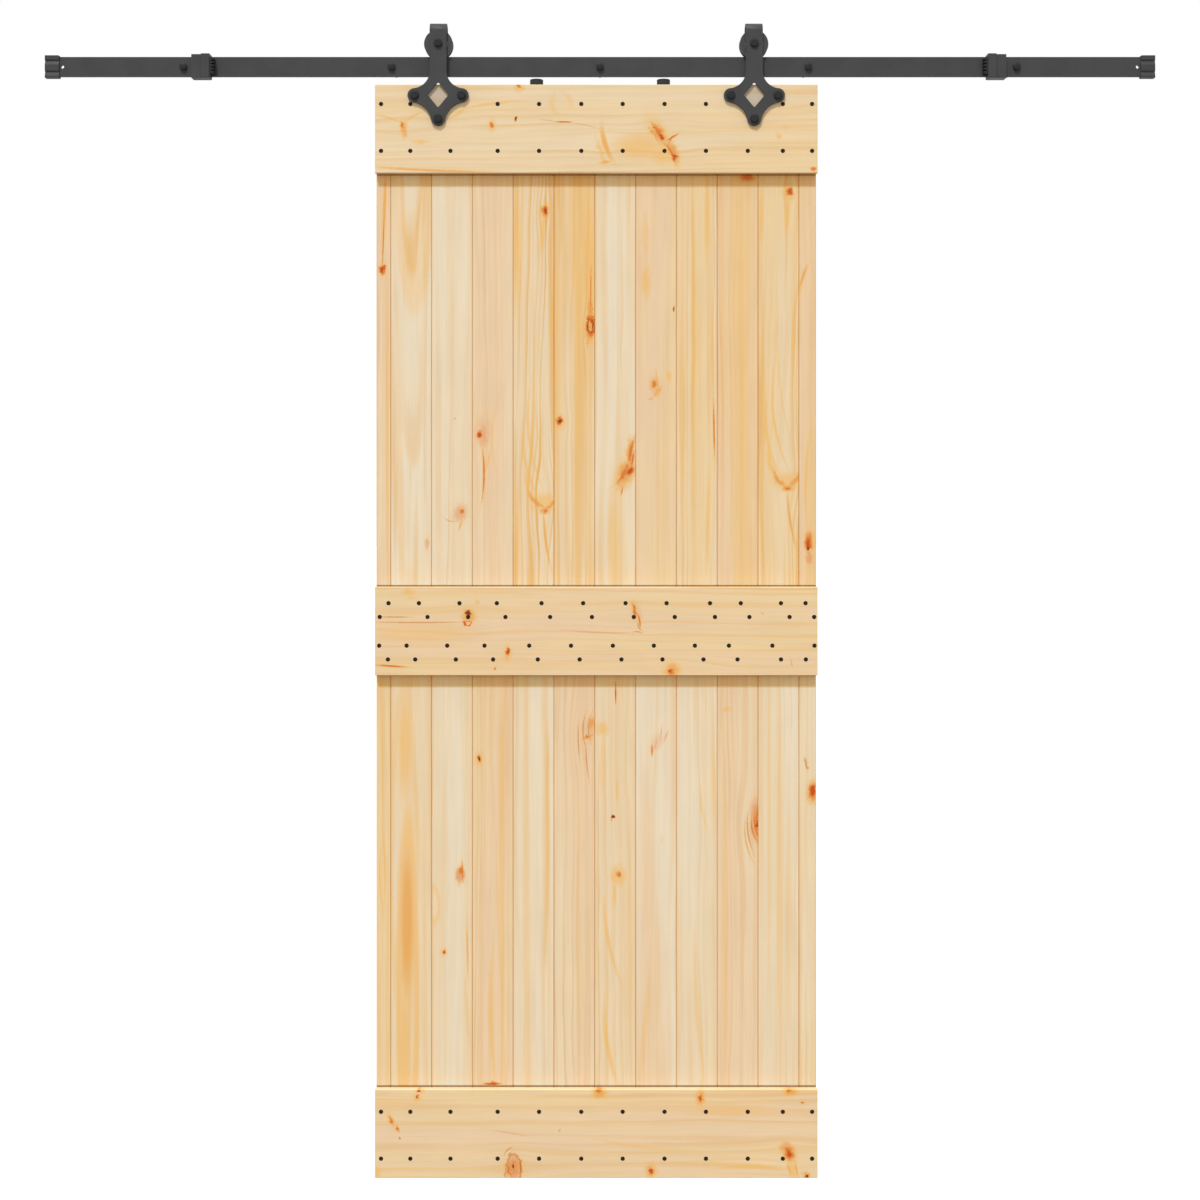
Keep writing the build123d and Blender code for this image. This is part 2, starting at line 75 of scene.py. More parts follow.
# Node helpers
class Nodes:
    """Adds shader nodes to a tree. An input takes a socket to join, or a value to set."""

    def __init__(self, tree):
        self.tree = tree

    def feed(self, node, inputs):
        for key, value in dict(inputs).items():
            socket = node.inputs[key]
            if isinstance(value, bpy.types.NodeSocket):
                self.tree.links.new(value, socket)
            else:
                socket.default_value = value
        return node

    def add(self, kind, inputs=(), **settings):
        node = self.tree.nodes.new(kind)
        for name, value in settings.items():
            setattr(node, name, value)
        return self.feed(node, inputs)

    def group(self, tree, inputs):
        return self.add("ShaderNodeGroup", inputs, node_tree=tree).outputs

    def math(self, operation, *values):
        return self.add("ShaderNodeMath", enumerate(values), operation=operation).outputs[0]

    def vector(self, operation, *values):
        node = self.add("ShaderNodeVectorMath", enumerate(values), operation=operation)
        return node.outputs["Value" if operation in ("LENGTH", "DOT_PRODUCT") else "Vector"]

    def split(self, vector):
        return self.add("ShaderNodeSeparateXYZ", {0: vector}).outputs[:3]

    def join(self, x, y, z):
        return self.add("ShaderNodeCombineXYZ", {0: x, 1: y, 2: z}).outputs[0]

    def mix(self, factor, first, second, blend="MIX"):
        inputs = {"Factor_Float": factor, "A_Color": first, "B_Color": second}
        node = self.add("ShaderNodeMix", data_type="RGBA", blend_type=blend)
        places = {socket.identifier: place for place, socket in enumerate(node.inputs)}
        self.feed(node, {places[name]: value for name, value in inputs.items()})
        return next(socket for socket in node.outputs if socket.identifier == "Result_Color")

    def noise(self, vector, scale, detail):
        """A grey noise with this many cycles to a metre."""
        inputs = {"Vector": vector, "Scale": scale, "Detail": detail}
        return self.add("ShaderNodeTexNoise", inputs).outputs[0]

    def ramp(self, value, *stops):
        node = self.add("ShaderNodeValToRGB", {0: value})
        elements = node.color_ramp.elements
        for element, (place, colour) in zip(elements, (stops[0], stops[-1])):
            element.position = place
            element.color = colour
        for place, colour in stops[1:-1]:
            elements.new(place).color = colour
        return node.outputs[0]

    def fade(self, value, start, end, low=0.0, high=1.0):
        """A smooth step of value, from low at start to high at end."""
        inputs = {"Value": value, "From Min": start, "From Max": end, "To Min": low, "To Max": high}
        return self.add("ShaderNodeMapRange", inputs, interpolation_type="SMOOTHSTEP").outputs[0]

    def grain_noise(self, place, cycles, detail):
        """A grey noise drawn out along the grain. Cycles to a metre are given across it and along it."""
        across, along = cycles
        return self.noise(self.vector("MULTIPLY", place, (across, across, along)), 1.0, detail)


def new_group(name, inputs, outputs):
    """An empty node group with these sockets: its tree, its helper, its inlet's sockets and its outlet."""
    tree = bpy.data.node_groups.new(name, "ShaderNodeTree")
    for label, kind in inputs:
        tree.interface.new_socket(label, in_out="INPUT", socket_type="NodeSocket" + kind)
    for label, kind in outputs:
        tree.interface.new_socket(label, in_out="OUTPUT", socket_type="NodeSocket" + kind)
    graph = Nodes(tree)
    return tree, graph, graph.add("NodeGroupInput").outputs, graph.add("NodeGroupOutput")


def new_material(name):
    material = bpy.data.materials.new(name)
    material.use_nodes = True
    return material, Nodes(material.node_tree), material.node_tree.nodes["Principled BSDF"]


# Pine. Cycles are to a metre, across the grain and along it. A fade is from, to, low, high.
WAVE_CYCLES = (13.0, 2.4)
WAVE_REACH = 30 * MM
UNEVEN_RATE = 0.45
UNEVEN_RINGS = 2.6
# How dark a ring is at each share of its width, from early wood to late wood.
RING_SHARES = ((0.0, 0.15), (0.15, 0.0), (0.45, 0.3), (0.78, 1.0), (0.9, 0.9), (1.0, 0.15))
RING_POWER = 2.0
RING_STRENGTH = 0.62
RING_LEAST = 0.1
PATCH_CYCLES = (34.0, 2.2)
PATCH_FADE = (0.3, 0.7, 0.3, 1.3)
SOFT_CYCLES = (62.0, 1.5)
SOFT_FADE = (0.48, 0.72, 0.0, 0.55)
TONE_CYCLES = (24.0, 1.1)
TONE_FADE = (0.36, 0.64)
FIBRE_CYCLES = (700.0, 9.0)
FIBRE_FADE = (0.25, 0.75, 0.95, 1.0)
MOTTLE_CYCLES = (30.0, 9.0)
MOTTLE_FADE = (0.3, 0.7, 0.965, 1.0)


# A group's place is (across the grain, depth, along the grain), in metres.
def make_figure_group():
    """Growth rings of a leaning tree, cut through by the board, with soft streaks, tones and fibres."""
    tree, g, given, out = new_group(
        "pine_figure",
        (("Place", "Vector"), ("Pith", "Vector"), ("Lean", "Vector"), ("Ring", "Float"),
         ("Streaks", "Float"), ("Tone", "Color"), ("Second tone", "Color"), ("Late wood", "Color"),
         ("Seed", "Float")),
        (("Color", "Color"), ("Fibre", "Float")),
    )
    seed, place = given["Seed"], given["Place"]
    own = g.vector("ADD", place, g.join(seed, 0.0, seed))
    across, depth, along = g.split(place)
    pith_across, pith_depth, _ = g.split(given["Pith"])
    lean_across, lean_depth, _ = g.split(given["Lean"])
    wave = g.math("MULTIPLY_ADD", g.grain_noise(own, WAVE_CYCLES, 3.0), WAVE_REACH, -WAVE_REACH / 2)
    ring_x = g.math("SUBTRACT", across, g.math("MULTIPLY_ADD", lean_across, along, pith_across))
    ring_y = g.math("SUBTRACT", depth, g.math("MULTIPLY_ADD", lean_depth, along, pith_depth))
    radius = g.vector("LENGTH", g.join(ring_x, ring_y, 0.0))
    count = g.math("DIVIDE", g.math("ADD", radius, wave), given["Ring"])
    uneven = g.noise(g.join(g.math("MULTIPLY_ADD", count, UNEVEN_RATE, seed), 0.0, 0.0), 1.0, 1.0)
    count = g.math("MULTIPLY_ADD", uneven, UNEVEN_RINGS, count)
    late = g.ramp(g.math("FRACT", count), *((share, grey(dark)) for share, dark in RING_SHARES))
    number = g.math("ADD", g.math("FLOOR", count), seed)
    strength = g.add("ShaderNodeTexWhiteNoise", {"W": number}, noise_dimensions="1D").outputs["Value"]
    strength = g.math("MULTIPLY_ADD", g.math("POWER", strength, RING_POWER), RING_STRENGTH, RING_LEAST)
    patch = g.fade(g.grain_noise(own, PATCH_CYCLES, 1.0), *PATCH_FADE)
    late = g.math("MULTIPLY", g.math("MULTIPLY", late, strength), patch)
    soft = g.fade(g.grain_noise(own, SOFT_CYCLES, 2.0), *SOFT_FADE)
    streak = g.math("MULTIPLY", g.math("MAXIMUM", late, soft), given["Streaks"])
    tone_share = g.fade(g.grain_noise(own, TONE_CYCLES, 2.0), *TONE_FADE)
    colour = g.mix(tone_share, given["Tone"], given["Second tone"])
    colour = g.mix(g.math("MINIMUM", streak, 1.0), colour, given["Late wood"])
    fibre = g.grain_noise(own, FIBRE_CYCLES, 2.0)
    mottle = g.grain_noise(own, MOTTLE_CYCLES, 2.0)
    shade = g.math("MULTIPLY", g.fade(fibre, *FIBRE_FADE), g.fade(mottle, *MOTTLE_FADE))
    g.feed(out, {"Color": g.mix(1.0, colour, g.join(shade, shade, shade), "MULTIPLY"), "Fibre": fibre})
    return tree


def make_bend_group():
    """Pushes the grain aside round a knot."""
    tree, g, given, out = new_group(
        "pine_bend",
        (("Bent", "Vector"), ("Place", "Vector"), ("Centre", "Vector"), ("Size", "Vector"),
         ("Bend", "Float")),
        (("Bent", "Vector"),),
    )
    offset = g.vector("SUBTRACT", given["Place"], given["Centre"])
    offset = g.vector("MULTIPLY", offset, (1.0, 0.0, 1.0))
    spread = g.vector("LENGTH", g.vector("DIVIDE", offset, given["Size"]))
    pull = g.math("EXPONENT", g.math("MULTIPLY", g.math("MULTIPLY", spread, spread), -1.0))
    shift = g.vector("MULTIPLY", offset, g.join(g.math("MULTIPLY", pull, given["Bend"]), 0.0, 0.0))
    g.feed(out, {"Bent": g.vector("SUBTRACT", given["Bent"], shift)})
    return tree


# Where a mark starts and is full, in shares of its half width. The amber ink spreads wider.
MARK_FADE = (1.25, 0.35)
AMBER_FADE = (1.8, 0.4)


def make_mark_group():
    """A knot, ring or streak: an oval or a bowed stroke with a ragged edge, added to the three inks."""
    tree, g, given, out = new_group(
        "pine_mark",
        (("Inks", "Vector"), ("Spot", "Vector"), ("Ragged", "Float"), ("Centre", "Vector"),
         ("Side", "Vector"), ("Length", "Vector"), ("Bow", "Float"), ("Rough", "Float"),
         ("Hollow", "Float"), ("Sharp", "Float"), ("Ink", "Vector")),
        (("Inks", "Vector"),),
    )
    offset = g.vector("SUBTRACT", given["Spot"], given["Centre"])
    share_along = g.vector("DOT_PRODUCT", offset, given["Length"])
    bowed = g.math("MULTIPLY", g.math("MULTIPLY", share_along, share_along), given["Bow"])
    share_side = g.math("SUBTRACT", g.vector("DOT_PRODUCT", offset, given["Side"]), bowed)
    reach = g.vector("LENGTH", g.join(share_side, share_along, 0.0))
    edge = g.math("MULTIPLY_ADD", given["Ragged"], given["Rough"], reach)
    edge = g.math("ABSOLUTE", g.math("SUBTRACT", edge, given["Hollow"]))
    edge = g.math("MULTIPLY", edge, given["Sharp"])
    mask = g.fade(edge, *MARK_FADE)
    inks = g.vector("MULTIPLY", given["Ink"], g.join(g.fade(edge, *AMBER_FADE), mask, mask))
    g.feed(out, {"Inks": g.vector("MAXIMUM", given["Inks"], inks)})
    return tree


figure_group = make_figure_group()
bend_group = make_bend_group()
mark_group = make_mark_group()

TONES = {
    "pale": linear(241, 224, 194),
    "cream": linear(240, 217, 180),
    "straw": linear(241, 212, 164),
    "blush": linear(240, 209, 170),
    "honey": linear(240, 203, 147),
    "amber": linear(234, 180, 98),
    "fox": linear(230, 172, 104),
}
INK_COLOURS = (linear(240, 184, 92), linear(212, 82, 12), linear(100, 38, 10))
# How much of the amber, rust and dark inks a mark takes.
INKS = {
    "faint": (0.34, 0.0, 0.0),
    "amber": (0.62, 0.0, 0.0),
    "resin": (0.85, 0.2, 0.0),
    "ochre": (0.9, 0.3, 0.0),
    "blush": (0.14, 0.14, 0.0),
    "pink": (0.2, 0.32, 0.0),
    "rose": (0.3, 0.45, 0.0),
    "brown": (0.5, 0.35, 0.2),
    "rust": (1.0, 0.7, 0.0),
    "red": (1.0, 1.0, 0.12),
    "dark": (0.9, 1.0, 0.85),
}
# A mark's edge is ragged, and drifts with the grain unless the mark is long and thin.
HOLLOW = 1.0
RAGGED_CYCLES = 260.0
RAGGED_SWING = 1.6
RAGGED_REACH = 3.4 * MM
DRIFT_REACH = (0.013, 0.0, 0.011)
DRIFT_ALONG = 70.0
DRIFT_ACROSS = 120.0
HALF_EACH = (0.5, 0.5, 0.5)
SLENDER_SHARE = 6
SLENDER_ROUGH = 0.5
# Joints between the boards are darker on their slopes. Along the edges of the bars the boards carry
# painted shade.
JOINT_SLOPES = (0.3, 0.6)
JOINT_SHADE = (0.95, 0.8, 0.62, 1.0)
# Painted shade: dark lines on the boards just under a bar and just over a bar's ledge, where the bars meet
# them.
PAINTED_UNDER_SHADE = (0.62, 0.47, 0.32, 1.0)
PAINTED_LEDGE_SHADE = (0.43, 0.29, 0.14, 1.0)
SHADE_LINE_HALF = 2.4 * MM
SHADE_LINE_CORE_SHARE = 0.4
PAINTED_SHADE_DEPTH = 6.0 * MM
# Painted cooling on the boards just over a bar, against the warm light that bounces off its ledge.
PAINTED_BOUNCE_COOLING = (0.87, 0.99, 1.16, 1.0)
BOUNCE_COOLING_HALF = 18.0 * MM
BOUNCE_COOLING_CORE_SHARE = 0.17
# Painted shadow: a warmer tint on the boards where a bar's shadow falls under it.
PAINTED_SHADOW_TINT = (1.1, 0.95, 0.68, 1.0)
SHADOW_DROP = 11.5 * MM
SHADOW_HALF = 15.0 * MM
SHADOW_CORE_SHARE = 0.7
BAND_REACH = 100.0
# Painted shade on the wood in the diamond windows of the straps, in pixels of the photograph
WINDOWS = ((437.6, 96.0), (754.2, 96.0))
WINDOW_HALVES = (12.0, 15.0)
WINDOW_PAINTED_SHADE = (0.69, 0.74, 0.9, 1.0)
WINDOW_CORE_SHARE = 0.92
# The surface of the wood
WOOD_ROUGHNESS = (0.3, 0.7, 0.52, 0.6)
WOOD_SPECULAR = 0.25
WOOD_BUMP = {"Strength": 0.2, "Distance": 0.2 * MM}


# A mark is placed by its pixels in the photograph, and its sizes are in those pixels too: x, y,
# half width, half length, turn from upright, bow of the ends, half thickness of a ring's line, ink.
def spot(x, y, half_width, half_height, ink, turn=0):
    """An oval knot, turned in degrees."""
    return x, y, half_width, half_height, math.radians(turn), 0, 0, ink


def ring(x, y, half_width, half_height, line, ink, turn=0):
    """The outline of an oval."""
    return x, y, half_width, half_height, math.radians(turn), 0, line, ink


def stroke(x1, y1, x2, y2, thickness, ink, bow=0):
    """A streak between two points."""
    across, up = x2 - x1, y1 - y2
    if up < 0:
        across, up = -across, -up
    half_length = math.hypot(across, up) / 2
    turn = math.atan2(-across, up)
    return (x1 + x2) / 2, (y1 + y2) / 2, thickness / 2, half_length, turn, bow, 0, ink


def pixel_size(front):
    """The size of a pixel of the photograph on a face that lies at this depth."""
    return FRAME_WIDTH / PHOTO_PIXELS * (CAMERA_DISTANCE + front - BARS_FRONT) / CAMERA_DISTANCE


def photo_place(x, y, pixel):
    """The X and Z of a place in the photograph, on a face with pixels of this size."""
    frame_top = CAMERA_HEIGHT + (SHIFT_UP + 0.5) * PHOTO_PIXELS * pixel
    return (x - PHOTO_PIXELS / 2) * pixel, frame_top - y * pixel


def mark_inks(g, point, upright, front, marks):
    """The masks of the three inks over all the marks on a face that lies at this depth."""
    inks = (0.0, 0.0, 0.0)
    pixel = pixel_size(front)
    ragged = g.noise(point, RAGGED_CYCLES, 3.0)
    ragged = g.math("MULTIPLY_ADD", ragged, RAGGED_SWING, -RAGGED_SWING / 2)
    cycles = (DRIFT_ACROSS, DRIFT_ACROSS, DRIFT_ALONG)
    if not upright:
        cycles = (DRIFT_ALONG, DRIFT_ACROSS, DRIFT_ACROSS)
    drift = {"Vector": g.vector("MULTIPLY", point, cycles), "Scale": 1.0, "Detail": 3.0}
    drift = g.add("ShaderNodeTexNoise", drift).outputs["Color"]
    drifted = g.vector("MULTIPLY_ADD", g.vector("SUBTRACT", drift, HALF_EACH), DRIFT_REACH, point)
    for x, y, half_width, half_length, turn, bow, line, ink in marks:
        cosine, sine = math.cos(turn), math.sin(turn)
        side, length = half_width * pixel, half_length * pixel
        centre_x, centre_z = photo_place(x, y, pixel)
        slender = half_length > SLENDER_SHARE * half_width
        roughness = SLENDER_ROUGH if slender else 1.0
        inks = g.group(mark_group, {
            "Inks": inks,
            "Spot": point if slender else drifted,
            "Ragged": ragged,
            "Centre": (centre_x, 0.0, centre_z),
            "Side": (cosine / side, 0.0, sine / side),
            "Length": (-sine / length, 0.0, cosine / length),
            "Bow": bow / half_width,
            "Rough": roughness * min(1.0, RAGGED_REACH / side),
            "Hollow": HOLLOW if line else 0.0,
            "Sharp": half_width / line if line else 1.0,
            "Ink": INKS[ink],
        })["Inks"]
    return g.split(inks)


def pine(name, upright, front, tones, pith, lean, ring_width, streaks, bends, marks, painted_shades, seed):
    """The material of a board or bar, with lengths in millimetres and the pith from the origin."""
    material, g, shader = new_material(name)
    point = g.add("ShaderNodeTexCoord").outputs["Object"]
    x, y, z = g.split(point)
    place = point if upright else g.join(z, y, x)
    bent = place
    for bend_across, bend_along, half_across, half_along, bend in bends:
        bent = g.group(bend_group, {
            "Bent": bent, "Place": place,
            "Centre": (bend_across * MM, 0.0, bend_along * MM),
            "Size": (half_across * MM, 1.0, half_along * MM),
            "Bend": bend,
        })["Bent"]
    colour, fibre = g.group(figure_group, {
        "Place": bent,
        "Pith": (pith[0] * MM, pith[1] * MM, 0.0),
        "Lean": (lean[0], lean[1], 0.0),
        "Ring": ring_width * MM,
        "Streaks": streaks,
        "Tone": TONES[tones[0]],
        "Second tone": TONES[tones[1]],
        "Late wood": TONES[tones[2]],
        "Seed": seed,
    })
    for share, ink_colour in zip(mark_inks(g, point, upright, front, marks), INK_COLOURS):
        colour = g.mix(share, colour, ink_colour)
    if upright:
        normal_x = g.split(g.add("ShaderNodeNewGeometry").outputs["Normal"])[0]
        slope = g.fade(g.math("ABSOLUTE", normal_x), *JOINT_SLOPES)
        colour = g.mix(slope, colour, g.mix(1.0, colour, JOINT_SHADE, "MULTIPLY"))
    face = g.fade(y, front + PAINTED_SHADE_DEPTH, front)
    # Painted shade: patches that darken, warm or cool the front face where shade or bounce light falls.
    for centre_x, centre_z, half_x, half_z, core_share, shade in painted_shades:
        away = g.vector("SUBTRACT", g.join(x, 0.0, z), (centre_x, 0.0, centre_z))
        away = g.vector("LENGTH", g.vector("DIVIDE", away, (half_x, 1.0, half_z)))
        patch = g.math("MULTIPLY", g.fade(away, 1.0, core_share), face)
        colour = g.mix(patch, colour, g.mix(1.0, colour, shade, "MULTIPLY"))
    bump = g.add("ShaderNodeBump", {**WOOD_BUMP, "Height": fibre})
    g.feed(shader, {
        "Base Color": colour,
        "Roughness": g.fade(fibre, *WOOD_ROUGHNESS),
        "Specular IOR Level": WOOD_SPECULAR,
        "Normal": bump.outputs[0],
    })
    return material


def dress(node_name, material):
    """Gives a carried-over solid its only material."""
    node = nodes[node_name]
    node.data.materials.clear()
    node.data.materials.append(material)
    for polygon in node.data.polygons:
        polygon.material_index = 0


# Boards: tones, pith (across from the middle of the board, depth) in millimetres, lean (across,
# depth) along the board, ring width in millimetres, streak strength.
BOARDS = {
    "upper_board_01": (("blush", "cream", "fox"), (70, -10), (0.004, 0.0), 9, 0.7),
    "upper_board_02": (("pale", "pale", "amber"), (-2, 34.5), (0.004, -0.04), 17, 1.0),
    "upper_board_03": (("pale", "cream", "amber"), (120, 30), (0.012, 0.0), 14, 0.5),
    "upper_board_04": (("blush", "cream", "fox"), (-110, 20), (-0.003, 0.0), 12, 0.5),
    "upper_board_05": (("cream", "cream", "amber"), (-90, -10), (0.016, 0.0), 8.5, 1.5),
    "upper_board_06": (("cream", "honey", "amber"), (130, 15), (0.006, 0.0), 9.5, 1.0),
    "upper_board_07": (("pale", "straw", "amber"), (-150, 10), (0.002, 0.0), 15, 0.6),
    "upper_board_08": (("blush", "straw", "fox"), (95, 25), (0.006, 0.0), 12, 0.5),
    "upper_board_09": (("cream", "straw", "amber"), (-105, 5), (-0.004, 0.0), 10, 0.9),
    "upper_board_10": (("blush", "honey", "fox"), (140, 0), (0.003, 0.0), 10, 0.6),
    "upper_board_11": (("cream", "straw", "amber"), (-75, -5), (0.01, 0.0), 10.5, 1.6),
    "upper_board_12": (("honey", "blush", "amber"), (100, 10), (0.004, 0.0), 11, 0.7),
    "lower_board_01": (("straw", "straw", "amber"), (60, -5), (0.002, 0.0), 8, 0.8),
    "lower_board_02": (("cream", "cream", "amber"), (-6, 32.7), (0.003, 0.019), 18, 0.8),
    "lower_board_03": (("pale", "cream", "amber"), (-120, 20), (0.008, 0.0), 13, 0.65),
    "lower_board_04": (("blush", "straw", "fox"), (115, 10), (0.01, 0.0), 11.5, 0.6),
    "lower_board_05": (("cream", "pale", "amber"), (-135, 15), (0.003, 0.0), 15, 0.65),
    "lower_board_06": (("cream", "blush", "fox"), (90, 5), (0.002, 0.0), 9, 0.7),
    "lower_board_07": (("cream", "cream", "amber"), (-85, 30), (-0.009, 0.0), 13, 0.6),
    "lower_board_08": (("pale", "blush", "amber"), (125, 20), (0.005, 0.0), 16, 0.45),
    "lower_board_09": (("pale", "cream", "amber"), (-100, 35), (-0.003, 0.0), 14, 0.5),
    "lower_board_10": (("blush", "cream", "fox"), (70, -8), (0.004, 0.0), 9.5, 0.7),
    "lower_board_11": (("cream", "pale", "amber"), (-130, 20), (0.003, 0.0), 13, 0.6),
    "lower_board_12": (("pale", "straw", "amber"), (85, 15), (0.002, 0.0), 12, 0.6),
}

# Bars: the same, across from the middle of the bar.
BARS = {
    "top_bar": (("straw", "cream", "amber"), (-150, 10), (0.02, 0.0), 13, 0.7),
    "middle_bar": (("straw", "blush", "amber"), (140, 5), (-0.015, 0.0), 14, 0.7),
    "bottom_bar": (("straw", "blush", "amber"), (-130, 15), (0.01, 0.0), 13, 0.7),
}

# Where the grain bends aside, in millimetres: X, Z, half width along X, half height along Z, amount.
BENDS = {
    "top_bar": ((-379, -114, 60, 24, 0.6), (-208, -114, 50, 22, 0.6), (130, -136, 60, 34, 0.5),
                (12, -150, 40, 24, 0.5)),
    "middle_bar": ((-254, -1062, 60, 26, 0.6), (68, -1064, 60, 26, 0.6), (137, -1162, 60, 24, 0.6)),
    "bottom_bar": ((-167, -2112, 70, 34, 0.7), (364, -2088, 60, 28, 0.7)),
    "upper_board_01": ((-421, -389, 10, 40, 0.6),),
    "upper_board_04": ((-228, -706, 22, 60, 0.7),),
    "upper_board_05": ((-110, -835, 34, 90, 0.8), (-106, -280, 16, 40, 0.6)),
    "upper_board_06": ((-18, -504, 14, 40, 0.6), (-77, -686, 16, 30, 0.6)),
    "upper_board_11": ((360, -795, 34, 90, 0.8), (365, -243, 16, 40, 0.6)),
    "lower_board_06": ((-22, -1280, 30, 60, 0.8),),
    "lower_board_10": ((301, -1460, 34, 70, 0.8),),
}

